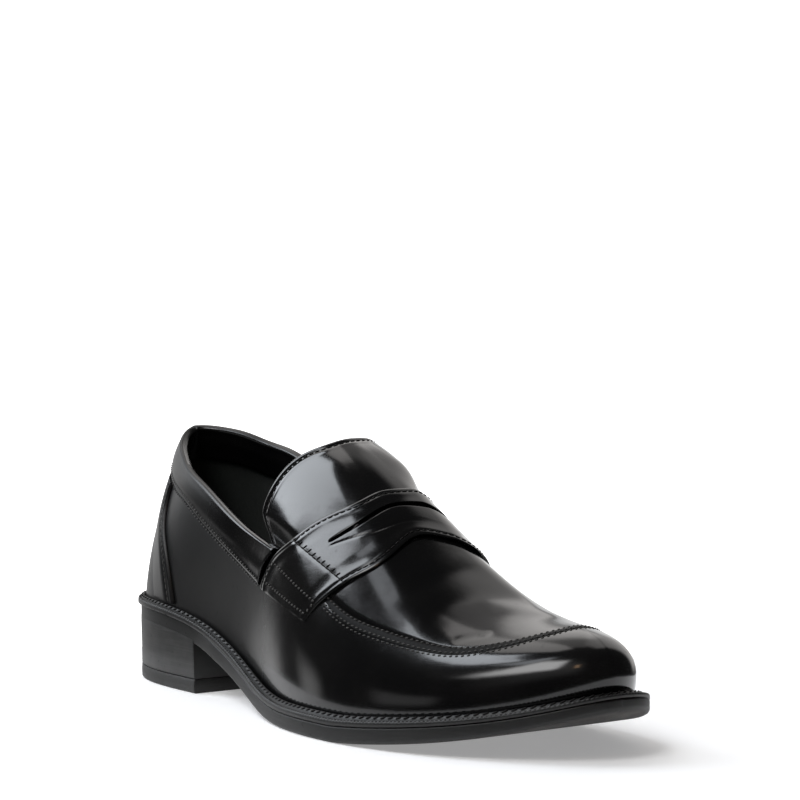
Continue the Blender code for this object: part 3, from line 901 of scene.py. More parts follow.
@dataclass(frozen=True)
class Layer:
    """A layer of the shoe's bottom between a low and a high face.

    Each row of its profile is a level, bottom to top: how far it lies in from the layer's edge,
    its share of the way from the low to the high face, and millimetres on top of that.
    """

    profile: Table
    inset: Array | float
    low: Callable[[Array], Array]
    high: Callable[[Array], Array]
    face_rows: int = 9

    def height(self, level: int, along: Array) -> Array:
        """Height of a level at places along."""
        _, share, more = self.profile[level]
        return self.low(along) * (1 - share) + self.high(along) * share + more

    def net(self, last: Last, plan: Callable[[Array], Array]) -> Array:
        """Closed sections of the layer.

        Args:
            last: the foot form over the sole.
            plan: gives the plan points on a half outline, one for each section.

        Returns:
            The net in metres, one closed section for each column.
        """
        rims = []
        for level, (more, _, _) in enumerate(self.profile):
            plans = [plan(half) for half in last.halves(self.inset + more)]
            rims.append([np.column_stack([p, self.height(level, p[:, 0])]) for p in plans])
        rows = self.face(rims[0][0], rims[0][1], 0)
        rows += [rim[1] for rim in rims[1:-1]]
        rows += self.face(rims[-1][1], rims[-1][0], -1)
        rows += [rim[0] for rim in rims[-2:0:-1]]
        rows.append(rows[0])
        return last.frame(np.stack(rows, 1))

    def face(self, first: Array, second: Array, level: int) -> list[Array]:
        """Rows across the layer's face from one rim to the other."""
        rows = []
        for share in np.linspace(0, 1, self.face_rows):
            row = first + (second - first) * share
            row[:, 2] = self.height(level, row[:, 0])
            rows.append(row)
        return rows


@dataclass
class Bottom:
    """Outsole, stacked heel, welt and footbed."""

    last: Last
    columns: int = 260
    heel_columns: int = 90
    heel_length: float = 75.0
    heel_inset: float = 1.3
    flush_more: float = 0.04
    flush_run: float = 22.0
    top_piece: float = 6.0
    seam: float = 0.2
    layer_gap: float = 0.3
    insole: float = 2.5
    insole_gap: float = 0.6
    wall: float = 2.0
    edge_round: float = 0.3
    tread_facing: float = -0.8
    breast_shade_facing: float = -0.9
    outsole_levels: Table = (
        (3.0, 0.0, 0.0), (1.3, 0.0, 0.05), (0.5, 0.0, 0.4), (0.1, 0.0, 1.0), (0.0, 0.0, 1.7),
        (0.05, 0.5, 0.0), (0.0, 1.0, -0.7), (0.1, 1.0, -0.25), (0.5, 1.0, 0.0),
    )
    rubber_levels: Table = (
        (1.4, 0.0, 0.0), (0.8, 0.0, 0.15), (0.4, 0.0, 0.7), (0.3, 0.5, 0.0), (0.4, 1.0, -0.4),
        (0.8, 1.0, 0.0),
    )
    stack_levels: Table = (
        (0.8, 0.0, 0.0), (0.4, 0.0, 0.35), (0.25, 0.5, 0.0), (0.0, 1.0, -0.8), (0.0, 1.0, 1.8),
    )
    footbed_levels: Table = ((0.0, 0.0, 0.0), (0.0, 1.0, -0.6), (0.4, 1.0, -0.1), (1.2, 1.0, 0.0))
    welt_columns: int = 2000
    welt_levels: Table = (
        (0.0, 0.02, 0.0), (0.0, 0.45, 0.0), (0.01, 0.68, 0.4), (0.06, 0.9, 0.9),
        (0.15, 1.0, 1.0), (0.24, 0.96, 0.8), (0.31, 0.76, 0.3), (0.36, 0.62, 0.0),
        (0.40, 0.78, 0.0), (0.45, 1.1, 0.0), (0.53, 1.38, 0.0), (0.64, 1.5, 0.0),
        (0.76, 1.4, 0.0), (0.86, 1.1, 0.0), (0.92, 0.6, 0.0), (0.93, 0.02, 0.0),
    )
    welt_row: tuple[float, float, float] = (0.50, 1.34, 0.0)
    row_lean: tuple[float, float] = (0.8, 0.6)
    notch: float = 1.75
    notch_depth: float = 0.7
    notch_power: float = 0.6

    def build(self) -> None:
        """Makes and dresses the pieces from the floor up."""
        self.build_outsole()
        self.build_heel()
        self.build_welt()
        self.build_footbed()

    def round_plan(self, half: Array) -> Array:
        """Plan points on a half outline from the toe's tip to the heel back."""
        return self.last.on_half(half, np.linspace(0, np.pi, self.columns))

    def heel_plan(self, half: Array) -> Array:
        """Plan points on a half outline from the heel back to the flat breast."""
        share = np.linspace(0, 1, self.heel_columns) ** 2
        along = half[0, 0] + (self.heel_length - half[0, 0]) * share
        return np.column_stack([along, self.last.across_at(half, along)])

    def solid(
        self,
        layer: Layer,
        plan: Callable[[Array], Array],
        axis: int = 2,
        limit: float = -math.inf,
    ) -> bmesh.types.BMesh:
        """A layer's closed mesh, with the second material on one face.

        Args:
            layer: the layer.
            plan: gives the plan points on a half outline.
            axis: axis that the second material's face looks back along.
            limit: part of a normal on that axis below which a face belongs to it.

        Returns:
            The mesh, facing outward.
        """
        bm = sheet(layer.net(self.last, plan), UP)
        rim = [edge for edge in bm.edges if edge.is_boundary]
        if rim:
            bmesh.ops.holes_fill(bm, edges=rim, sides=0)
        bmesh.ops.recalc_face_normals(bm, faces=bm.faces)
        for face in bm.faces:
            face.material_index = 1 if face.normal[axis] < limit else 0
        return bm

    def build_outsole(self) -> None:
        """Plate with arch and toe spring, trimmed edge and a plain face under it."""
        over_heel = 1 - ramp(self.last.edge[:, 0], self.heel_length, self.flush_run)
        flush = (self.heel_inset + self.flush_more) * over_heel
        layer = Layer(self.outsole_levels, flush, lambda a: self.last.layers(a)[0],
                      lambda a: self.last.layers(a)[1])
        bm = self.solid(layer, self.round_plan, 2, self.tread_facing)
        place("outsole_plate", bm, [SOLE_EDGE, SOLE_FACE], "outsole")

    def build_heel(self) -> None:
        """Rubber top piece and the heel block on it, both with painted shade at the breast."""
        low = self.top_piece + self.seam
        rubber = Layer(self.rubber_levels, self.heel_inset, lambda a: 0 * a,
                       lambda a: 0 * a + self.top_piece)
        stack = Layer(self.stack_levels, self.heel_inset, lambda a: 0 * a + low,
                      lambda a: self.last.layers(a)[0])
        for name, layer, finish, slot, node in (
            ("heel_rubber_lift", rubber, TOP_RUBBER, Slot.TOP_PIECE, "heel_top_piece"),
            ("heel_stack", stack, HEEL_EDGE, Slot.HEEL, "heel_block"),
        ):
            # Faces turned toward the toe take the darker breast finish, which is painted shade.
            bm = self.solid(layer, self.heel_plan, 1, self.breast_shade_facing)
            soften(place(name, bm, [finish, BREAST_SHADE], node), self.edge_round)

    def build_welt(self) -> None:
        """Ring with a wheeled outer rib and a sewn inner rib, and its stitches."""
        edge, inward = self.last.edge, self.last.inward
        way = trail(np.concatenate([edge, edge[:1]]))
        run = np.linspace(0, way[-1], self.welt_columns)
        pick = np.interp(run, way, np.arange(len(edge) + 1))
        whole = pick.astype(int) % len(edge)
        part = (pick % 1)[:, None]
        nearby = (whole + 1) % len(edge)
        plan = edge[whole] * (1 - part) + edge[nearby] * part
        inner = inward[whole] * (1 - part) + inward[nearby] * part
        _, low, high, margin = self.last.layers(plan[:, 0])
        tall = high - low - self.layer_gap
        gaps = 1 - np.abs(np.sin(np.pi * run / self.notch)) ** self.notch_power

        def line(share: float, rise: float, bite: float) -> Array:
            """A line round the ring, by share of its width, rise and depth of the notches."""
            spot = plan + inner * (margin * share)[:, None]
            base = self.last.layers(spot[:, 0])[1] + self.layer_gap
            over = tall * rise - bite * self.notch_depth * gaps
            return self.last.frame(np.column_stack([spot, base + over]))

        rows = [line(*level) for level in self.welt_levels]
        rows.append(rows[0])
        bm = sheet(np.stack(rows, 1), UP)
        bmesh.ops.recalc_face_normals(bm, faces=bm.faces)
        place("welt_ring", bm, [WELT_EDGE], "welt")
        lean, rise = self.row_lean
        ways = np.column_stack([-inner * lean, np.full(self.welt_columns, rise)])
        stitch = Stitch(length=2.6, gap=0.9, width=0.9, height=0.6, slant=20.0)
        run = line(*self.welt_row), self.last.frame_way(ways)
        sewn("welt_stitches", [(stitch, run)])

    def build_footbed(self) -> None:
        """Plate that the foot stands on, inside the upper."""
        inset = self.last.layers(self.last.edge[:, 0])[3] + self.wall + self.insole_gap
        layer = Layer(self.footbed_levels, inset,
                      lambda a: self.last.layers(a)[1] + self.layer_gap,
                      lambda a: self.last.layers(a)[1] + self.layer_gap + self.insole)
        place("footbed", self.solid(layer, self.round_plan), [FOOTBED], "insole")


@dataclass
class Upper:
    """Side walls and apron, joined by the raised seam round the toe."""

    last: Last
    pattern: Pattern
    wall: float = 2.0
    columns: int = 620
    ridge_width: float = 2.0
    ridge_height: float = 0.45
    ridge_fade: tuple[float, float] = (1.22, 1.31)
    gather: float = 1.75
    seam_low: float = 0.008
    rows: tuple[tuple[float, float], ...] = ((-2.0, 0.1), (0.7, 0.3), (2.3, 0.1))
    tuck: float = 0.9
    tuck_from: tuple[float, float] = (0.95, 0.05)
    tuck_turn: tuple[float, float] = (1.25, 0.08)
    foot_rise: float = 0.5
    ridge_foot: float = 0.35
    ridge_low: tuple[float, float] = (0.25, 0.75)
    ridge_sink: float = 0.25
    pull: tuple[float, float] = (0.93, 0.07)
    creases: tuple[Crease, ...] = (
        Crease((243.5, -20.0), (249.0, -12.0), 1.8, 0.22),
        Crease((227.0, -16.0), (232.0, 14.0), 5.0, 0.22),
        Crease((236.0, 2.0), (249.0, 19.0), 5.0, -0.26),
        Crease((214.0, -22.0), (217.0, 6.0), 4.0, 0.16),
        Crease((192.0, -22.0), (224.0, -20.0), 10.0, -0.55),
    )

    def build(self) -> None:
        """Makes and dresses the walls, the apron and their seam."""
        self.build_walls()
        self.build_apron()
        self.build_seam()

    def worked(self, turn: Array, down: Array, lift: Array | float) -> Run:
        """Points and normals over the form with the creases pressed in."""
        plan = self.last.point(turn, down)[..., :2]
        lift = lift + sum(crease.lift(plan) for crease in self.creases)
        return self.last.skin(turn, down, lift)

    def tucked(self, share: Array) -> Array:
        """Lift of an edge that is tucked under the seam, by share of the way to it."""
        return -self.tuck * ramp(share, *self.tuck_from)

    def build_walls(self) -> None:
        """Vamp and quarters in one strip round the shoe, from the welt to seam and topline."""
        way = np.linspace(0, 2 * np.pi, self.columns)
        top = self.pattern.top_of(way)
        climb = np.concatenate([np.linspace(0, 0.9, 36), np.linspace(0.92, 1.0, 6)])
        down = -(1 - (1 - top)[:, None] * climb)
        turn = np.broadcast_to(way[:, None], down.shape)
        start, run = self.tuck_turn
        front = 1 - ramp(np.abs(way - np.pi), np.pi - start, -run)
        net = self.worked(turn, down, self.tucked(climb) * front[:, None])[0]
        sunk = self.last.point(way, -np.ones_like(way))
        sunk[:, 2] = self.last.layers(sunk[:, 0])[1] + self.foot_rise
        net = np.concatenate([self.last.frame(sunk)[:, None], net], 1)
        net[0] = net[-1] = (net[0] + net[-1]) / 2
        facing = self.last.skin(way, -np.full_like(way, 0.8), 0.0)[1]
        bm = sheet(net, facing[:, None])
        piece = place("vamp_and_quarters", bm, [UPPER_LEATHER, TEXTILE], "upper")
        thicken(piece, self.wall, lined=True)

    def build_apron(self) -> None:
        """Apron over the toes, from seam to seam and back under the strap."""
        turns = np.linspace(0, self.pattern.throat + 0.01, 150)
        fine = np.linspace(0.9, 1.0, 7)
        share = np.concatenate([-fine[::-1], np.linspace(-0.88, 0.88, 61), fine])
        tops = self.pattern.side_top(turns)
        side = np.where(share[None] <= 0, tops[:, :1], tops[:, 1:])
        down = share[None] * side
        turn = np.broadcast_to(turns[:, None], down.shape)
        tuck = np.broadcast_to(self.tucked(np.abs(share)), down.shape)
        net = self.worked(turn, down, tuck)[0]
        net[0] = (net[0] + net[0, ::-1]) / 2
        bm = sheet(net, UP)
        piece = place("apron", bm, [APRON_LEATHER, TEXTILE], "upper")
        thicken(piece, self.wall, lined=True)

    def seam_run(self, off: float, lift: float, ends: float) -> Run:
        """A line beside the apron seam, round the toe from side to side.

        Args:
            off: millimetres from the seam, positive down the wall.
            lift: height over the form.
            ends: turn at which it stops on either side.

        Returns:
            Points and normals.
        """
        way = np.linspace(-ends, ends, 600)
        down = self.seam_down(way)
        down = down - off / self.last.down_scale(way, down)
        return self.worked(way, down, lift)

    def seam_down(self, way: Array) -> Array:
        """Signed share down of the apron seam on a way past the toe."""
        return -(self.pattern.top_of(way) + self.seam_low)

    def build_seam(self) -> None:
        """Raised seam, gathered by its thread, and the stitch rows along it."""
        ends = self.pattern.throat - 0.02
        way = np.linspace(-ends, ends, 1100)
        offs = np.linspace(-1, 1, 15) * (self.ridge_width + self.ridge_foot)
        base = self.seam_down(way)
        scale = self.last.down_scale(way, base)
        down = base[:, None] - offs / scale[:, None]
        turn = np.broadcast_to(way[:, None], down.shape)
        start, stop = self.ridge_fade
        fade = 1 - ramp(np.abs(way), start, stop - start)
        run = trail(self.last.point(way, base))
        least, more = self.pull
        pull = more * np.abs(np.sin(np.pi * run / self.gather)) ** 0.5 + least
        dome = np.maximum(0.0, 1 - np.abs(offs / self.ridge_width) ** 4) ** 0.5
        low, rest = self.ridge_low
        lift = self.ridge_height * dome * pull[:, None] * (low + rest * fade[:, None])
        net = self.worked(turn, down, lift - self.ridge_sink)[0]
        facing = self.last.skin(way, base, 0.0)[1]
        piece = place("apron_seam", sheet(net, facing[:, None]), [SEAM_LEATHER])
        thicken(piece, 0.6)
        dot = Stitch(length=1.3, gap=1.0, width=0.6, height=0.5, slant=18.0)
        sewn("apron_stitches", [
            (dot, self.seam_run(off, lift, stop)) for off, lift in self.rows
        ], ROW_THREAD)


@dataclass
class Tongue:
    """Wide tongue with a turned edge and its stitch row."""

    last: Last
    pattern: Pattern
    reach: float = 0.74
    lift: float = 1.5
    medial_lift: float = 4.5
    free_run: float = 34.0
    lift_run: float = 20.0
    tuck: float = 2.6
    tuck_in: tuple[float, float] = (0.105, 0.20)
    tuck_end: float = 0.01
    medial_run: float = 0.34
    seat: float = -0.1
    thick: float = 1.8
    sewn_in: float = 3.1
    sewn_reach: float = 0.665
    sewn_rise: float = 0.12
    bead: Curve = Curve((
        (0.0, -0.15), (0.6, 0.22), (1.5, 0.34), (2.4, 0.12), (3.1, -0.10), (3.9, 0.0), (6.0, 0.0),
    ))

    def height(self, turn: Array, down: Array, inside: Array) -> Array:
        """Height over the form, with the edge bead.

        Args:
            turn: way round from the toe.
            down: share down from the crown.
            inside: millimetres in from the free edge.

        Returns:
            Height of the outer face.
        """
        both = self.pattern.side_top(turn)
        beyond = np.abs(down) - np.where(down <= 0, both[..., 0], both[..., 1])
        early = np.where(down <= 0, *self.tuck_in)
        tucked = ramp(beyond, -early, early - self.tuck_end)
        behind = self.pattern.strap(down)[..., 0] - self.last.point(turn, down)[..., 0]
        risen = self.lift * np.clip(behind / self.free_run, 0, 1)
        medial = self.medial_lift * smooth(down / self.medial_run)
        risen = risen + medial * smooth(behind / self.lift_run)
        return self.seat + risen * (1 - tucked) - self.tuck * tucked + self.bead(inside)

    def build(self) -> None:
        """Makes and dresses the tongue."""
        downs = np.linspace(-self.reach, self.reach, 190)
        share = np.concatenate([np.linspace(0, 0.12, 14), np.linspace(0.135, 1, 44)])
        rear = self.last.turn_at(self.pattern.tongue(np.abs(downs)), downs)
        front = self.pattern.throat + 0.004
        turn = rear[:, None] + (front - rear)[:, None] * share
        down = np.broadcast_to(downs[:, None], turn.shape)
        inside = trail(self.last.point(turn, down), 1)
        net, facing = self.last.skin(turn, down, self.height(turn, down, inside))
        piece = place("tongue_flap", sheet(net, facing), [STRAP_LEATHER, TEXTILE],
                      "tongue")
        thicken(piece, self.thick, lined=True)
        soften(piece, 0.5)
        run_turn = np.array([np.interp(self.sewn_in, i, t) for i, t in zip(inside, turn)])
        keep = np.abs(downs) < self.sewn_reach
        lift = self.height(run_turn, downs, np.full_like(downs, self.sewn_in)) + self.sewn_rise
        run = self.last.skin(run_turn[keep], downs[keep], lift[keep])
        stitch = Stitch(length=2.0, gap=0.6, width=0.5, height=0.45)
        sewn("tongue_stitches", [(stitch, run)])


@dataclass
class Saddle:
    """Saddle strap with its coin slit, whip-stitched wings and edge rows."""

    last: Last
    pattern: Pattern
    height: float = 1.5
    thick: float = 1.2
    stand_off: float = 0.25
    stand_from: tuple[float, float] = (0.62, 0.38)
    free_lateral: tuple[float, float] = (-0.42, 0.2)
    free_medial: tuple[float, float] = (-0.3, 0.2)
    end_skew: tuple[float, float] = (-0.015, 0.020)
    skew_from: tuple[float, float] = (0.60, 0.19)
    slit_middle: Curve = Curve((
        (-0.79, 0.39), (-0.50, 0.386), (-0.38, 0.352), (-0.27, 0.330), (-0.15, 0.345),
        (-0.05, 0.345), (0.06, 0.36), (0.24, 0.385), (0.45, 0.40), (0.75, 0.41),
    ))
    slit_half: float = 0.042
    slit_reach: tuple[float, float] = (-0.503, 0.45)
    slit_square: int = 40
    gape: float = 0.6
    gape_steps: Table = ((0.4, -0.50, 0.25), (0.4, -0.15, 0.2))
    edge_row: float = 1.9
    row_stop: float = 0.01
    whip_rear: tuple[float, float] = (-0.602, 0.575)
    whip_front: tuple[float, float] = (-0.562, 0.515)
    whip_depth: float = 0.06
    whip_width: float = 0.5
    whip_scale: float = 62.0
    skive: float = 0.9
    skive_from: tuple[float, float] = (0.56, 0.22)
    ticks: int = 11
    tick_in: float = 0.011
    box_rows: tuple[float, float] = (0.024, 0.086)
    box_sides: tuple[float, float] = (0.03, 0.08)
    box_span: tuple[float, float] = (0.05, 0.95)
    lip_depth: float = 0.18
    lip_width: float = 0.4
    lip_start: tuple[float, float] = (-0.52, 0.03)
    lip_fade: tuple[float, float] = (-0.33, 0.26)
    bead: Curve = Curve((
        (0.0, -0.22), (0.35, -0.04), (0.8, 0.0), (1.4, 0.0), (1.9, -0.06), (2.4, 0.0), (4.0, 0.0),
        (9.0, 0.0),
    ))
    lip: Curve = Curve((
        (-0.50, 0.45), (-0.405, 0.505), (-0.308, 0.585), (-0.20, 0.68), (-0.057, 0.715),
    ))

    def width(self, down: Array) -> Array:
        """Strap width in millimetres on lines down."""
        rear, fore = np.moveaxis(self.pattern.strap(down), -1, 0)
        return fore - rear

    def lift(self, share: Array, down: Array) -> Array:
        """Height of the strap's outer face over the form.

        Args:
            share: share of the width from the rear edge.
            down: share down from the crown.

        Returns:
            Height in millimetres.
        """
        wide = self.width(down)
        edges = self.bead(share * wide) + self.bead((1 - share) * wide)
        free = ramp(down, *self.free_lateral) * ramp(-down, *self.free_medial)
        off = self.stand_off * free * ramp(share, *self.stand_from)
        whip = sum(
            np.exp(-(((down - rear - (fore - rear) * share) * self.whip_scale) / self.whip_width) ** 2)
            for rear, fore in zip(self.whip_rear, self.whip_front)
        )
        lip_depth = self.lip_depth * (1 - ramp(down, *self.lip_fade)) * ramp(down, *self.lip_start)
        lip = np.exp(-(((share - self.lip(down)) * wide) / self.lip_width) ** 2)
        thinned = self.skive * ramp(np.abs(down), *self.skive_from)
        return self.height + edges + off - thinned - self.whip_depth * whip - lip_depth * lip

    def slit_at(self, downs: Array) -> Array:
        """Half opening of the coin slit on lines down, as a share of the width."""
        low, high = self.slit_reach
        x = (downs - (low + high) / 2) / ((high - low) / 2)
        gape = sum((more * ramp(downs, *step) for more, *step in self.gape_steps), self.gape)
        return self.slit_half * gape * np.sqrt(np.maximum(0.0, 1 - np.abs(x) ** self.slit_square))

    def skewed(self, share: Array, down: Array) -> Array:
        """Share down on the strap, where the lateral wing's end runs askew."""
        rear, fore = self.end_skew
        return down + (rear + (fore - rear) * share) * ramp(-down, *self.skew_from)

    def build(self) -> None:
        """Makes and dresses the strap and its thread."""
        lateral, medial = self.pattern.strap_ends
        downs = np.linspace(-lateral, medial, 260)
        half = self.slit_at(downs)
        rear_part = np.concatenate([np.linspace(0, 0.35, 12), np.linspace(0.42, 1, 10)])
        front_part = np.concatenate([np.linspace(0, 0.55, 22), np.linspace(0.58, 1, 18)])
        middle = self.slit_middle(downs)
        low = (middle - half)[:, None] * rear_part
        start = (middle + half)[:, None]
        share = np.concatenate([low, start + (1 - start) * front_part], 1)
        net, facing = self.run(share, np.broadcast_to(downs[:, None], share.shape), 0.0)
        bm = sheet(net, facing, gap=len(rear_part) - 1)
        piece = place("saddle_strap_leather", bm, [STRAP_LEATHER], "saddle_strap")
        thicken(piece, self.thick)
        soften(piece, 0.35)
        self.build_thread()

    def run(self, share: Array, down: Array, rise: float = 0.14) -> Run:
        """Points and normals at a rise over the strap's face, by default where thread lies."""
        down = self.skewed(share, down)
        turn = self.pattern.strap_turn(self.last, share, down)
        return self.last.skin(turn, down, self.lift(share, down) + rise)

    def build_thread(self) -> None:
        """Edge rows between the whip stitches, boxed rows at the wing ends, whip stitches."""
        row = Stitch(length=2.1, gap=0.6, width=0.5, height=0.45)
        fine = Stitch(length=1.3, gap=1.15, width=0.95, height=0.65, slant=32.0)
        boxes = []
        across = np.linspace(*self.box_span, 80)
        for side in Side:
            end = side.sign * self.pattern.strap_ends[side.column]
            for inset in self.box_rows:
                down = np.full_like(across, end - side.sign * inset)
                boxes.append((fine, self.run(across, down)))
            box = np.linspace(*(end - side.sign * inset for inset in self.box_sides), 20)
            for share in self.box_span:
                boxes.append((fine, self.run(np.full_like(box, share), box)))
        sewn("wing_stitches", boxes, ROW_THREAD)
        bm = bmesh.new()
        for (lateral, medial), at_front in ((self.whip_rear, False), (self.whip_front, True)):
            top = np.linspace(lateral + self.row_stop, medial - self.row_stop, 220)
            share = self.edge_row / self.width(top)
            row.sew(bm, self.run(1 - share if at_front else share, top))
        stem = Stitch(length=3.2, gap=0.0, width=0.75, height=0.5)
        tick = Stitch()
        for rear, fore in zip(self.whip_rear, self.whip_front):
            share = np.linspace(0.03, 0.97, 90)
            points, normals = self.run(share, rear + (fore - rear) * share)
            stem.sew(bm, (points, normals))
            inner = -np.sign(rear) * self.tick_in
            share = np.linspace(0.06, 0.94, self.ticks)
            line = rear + (fore - rear) * share
            spots, outs = self.run(share, line + inner)
            feet, _ = self.run(share, line)
            for spot, foot, out in zip(spots, feet, outs):
                tick.lay(bm, spot, spot - foot, out)
        place("strap_stitches", bm, [THREAD])


@dataclass
class Collar:
    """Padded collar band that rolls over the topline and faces the inside."""

    last: Last
    pattern: Pattern
    thick: float = 0.9
    roll: float = 2.3
    roll_square: float = 0.6
    roll_in: float = -2.35
    facing_depth: float = 12.0
    outer: Curve = Curve((
        (0.0, 0.75), (0.05, 1.05), (0.16, 1.25), (0.35, 1.7), (0.6, 1.95), (0.85, 1.9), (1.0, 1.75),
    ))
    inner_lift: float = -3.0
    facing_run: float = 0.35
    rim_step: float = 0.01
    wing_gap: float = 1.3
    row_gap: float = 3.0
    rows: tuple[tuple[float, float], ...] = ((-1.7, 1.32), (1.3, 0.12))
    feet: tuple[tuple[float, float], tuple[float, float]] = ((0.80, 0.69), (0.735, 0.628))
    inside: tuple[float, float, float] = (90.0, 2.0, 70.0)

    def build(self) -> None:
        """Makes and dresses the band and its stitch rows."""
        climb = np.concatenate([np.linspace(0, 0.2, 8), np.linspace(0.25, 1, 14)])
        halves = [self.half(side, climb) for side in Side]
        net, facing = (np.concatenate([a[::-1], b[1:]]) for a, b in zip(*halves))
        marked = np.zeros_like(net)
        marked[:, :len(climb)] = facing
        bm = sheet(net, marked)
        inside = Vector(self.last.frame(np.array(self.inside)))
        for face in bm.faces:
            facing_in = face.normal.dot(face.calc_center_median() - inside) < 0
            face.material_index = 1 if facing_in else 0
        piece = place("collar_band_leather", bm, [BAND_LEATHER, FACING_LEATHER],
                      "collar_band")
        thicken(piece, self.thick)
        soften(piece, 0.3)
        self.build_thread()

    def half(self, side: Side, climb: Array) -> Run:
        """One side of the band from the heel to the strap, as a net and its outward ways.

        Args:
            side: side of the shoe.
            climb: shares of the way from lower edge to topline.

        Returns:
            The net and, for its outer rows, the normals.
        """
        foot, rim = self.feet[side.column]
        stop = self.pattern.wing_turn(self.last, foot + (rim - foot) * climb, side, self.wing_gap)
        share = np.linspace(0, 1, 150)[:, None]
        turn = np.pi + (stop - np.pi) * share
        low = self.pattern.band(turn[:, 0])[:, side.column][:, None]
        high = self.pattern.side_top(turn[:, -1])[:, side.column][:, None]
        down = side.sign * (low + (high - low) * climb)
        outer, ways = self.last.skin(turn, down, self.outer(climb))
        edge_turn, edge_down = turn[:, -1], down[:, -1]
        rim_point, rim_way = self.last.skin(edge_turn, edge_down, 0.0)
        below = self.last.skin(edge_turn, edge_down + side.sign * self.rim_step, 0.0)[0]
        up = rim_point - below
        up = up - rim_way * (up * rim_way).sum(-1, keepdims=True)
        up = up / np.linalg.norm(up, axis=-1, keepdims=True)
        out_lift, in_lift = self.outer(1.0), self.roll_in
        middle, reach = (out_lift + in_lift) / 2, (out_lift - in_lift) / 2
        rows = [outer[:, k] for k in range(len(climb))]
        for angle in np.linspace(0, np.pi, 15)[1:]:
            side_way = math.copysign(abs(math.cos(angle)) ** self.roll_square, math.cos(angle))
            push = (middle + reach * side_way) * MM
            rise = self.roll * MM * max(math.sin(angle), 0.0) ** self.roll_square
            rows.append(rim_point + rim_way * push + up * rise)
        scale = self.last.down_scale(edge_turn, edge_down)
        for depth in np.linspace(0, 1, 10)[1:]:
            lower = edge_down + side.sign * depth * self.facing_depth / scale
            lift = in_lift + (self.inner_lift - in_lift) * smooth(depth / self.facing_run)
            rows.append(self.last.skin(edge_turn, lower, lift)[0])
        return np.stack(rows, 1), ways

    def build_thread(self) -> None:
        """A row on the band above its edge and a row on the quarter below it."""
        stitch = Stitch(length=1.3, gap=1.0, width=0.85, height=0.6, slant=26.0)
        rows = []
        for side in Side:
            foot = self.feet[side.column][0]
            stop = float(self.pattern.wing_turn(self.last, np.array(foot), side, self.row_gap))
            turn = np.linspace(np.pi, stop, 260)
            down = self.pattern.band(turn)[:, side.column]
            scale = self.last.down_scale(turn, side.sign * down)
            for off, lift in self.rows:
                place_down = side.sign * (down + off / scale)
                rows.append((stitch, self.last.skin(turn, place_down, lift)))
        sewn("collar_stitches", rows, ROW_THREAD)


@dataclass
class Backstay:
    """Counter patch up the back of the heel, with rolled front edges."""

    last: Last
    pattern: Pattern
    thick: float = 0.9
    foot: float = 0.985
    meet: float = 0.012
    top_turn: float = 2.545
    sewn_in: float = 4.3
    sewn_lift: float = 1.2
    half_columns: int = 60
    profile: Curve = Curve((
        (0.0, 0.25), (0.4, 1.05), (1.1, 1.6), (1.9, 1.55), (2.7, 0.98), (3.4, 1.2), (4.3, 1.05),
        (5.2, 1.22), (9.0, 1.25), (90.0, 1.25),
    ))

    def spot(self, share: Array, climb: Array) -> Run:
        """Turn and signed share down on the patch, by share to a side edge and climb."""
        lateral = share <= 0
        edge_turn = np.pi + (self.top_turn - np.pi) * np.abs(share)
        both = self.pattern.band(edge_turn)
        top = np.where(lateral, both[..., 0], both[..., 1]) + self.meet
        down = self.foot + (top - self.foot) * climb
        turn = np.pi + (self.pattern.backstay(down) - np.pi) * np.abs(share)
        return turn, np.where(lateral, -down, down)

    def build(self) -> None:
        """Makes and dresses the patch and its stitch rows."""
        fine = np.linspace(0.80, 1.0, 22)
        share = np.concatenate([-fine[::-1], np.linspace(-0.77, 0.77, 52), fine])
        climb = np.linspace(0, 1, 46)
        turn, down = self.spot(*np.broadcast_arrays(share[:, None], climb[None]))
        way = trail(self.last.point(turn, down))
        inside = np.minimum(way, way[-1] - way)
        net, facing = self.last.skin(turn, down, self.profile(inside))
        piece = place("backstay_leather", sheet(net, facing), [BAND_LEATHER],
                      "backstay")
        thicken(piece, self.thick)
        soften(piece, 0.3)
        rows = []
        stitch = Stitch(length=2.1, gap=0.6, width=0.55, height=0.5)
        for flip in (1, -1):
            near, *lines = (a[::flip][:self.half_columns].T for a in (inside, turn, down))
            line = [
                np.array([np.interp(self.sewn_in, *pair) for pair in zip(near, values)])
                for values in lines
            ]
            rows.append((stitch, self.last.skin(*line, self.sewn_lift)))
        sewn("backstay_stitches", rows, ROW_THREAD)


@dataclass(frozen=True)
class Glow:
    """A soft patch of the room's light: bearings and elevations in degrees, and radiance.

    Bearing 0 lies behind the heel, -90 on the lateral side and 180 in front of the toe.
    """

    bearings: tuple[float, float]
    elevations: tuple[float, float]
    radiance: float
    soft: float = 4.0
    tint: tuple[float, float, float] = (1.0, 1.0, 1.0)
    slanted: tuple[float, float] | None = None

    def colour(self, bearing: Value, elevation: Value) -> Value:
        """Its colour in a direction, cut off under a slanted line where one is given."""
        inside = bearing.within(*self.bearings, self.soft)
        inside = inside * elevation.within(*self.elevations, self.soft)
        if self.slanted:
            slope, least = self.slanted
            over = bearing * slope + elevation
            inside = inside * over.above(least - 2 * self.soft, least + 2 * self.soft)
        return (inside * self.radiance).tinted(self.tint)


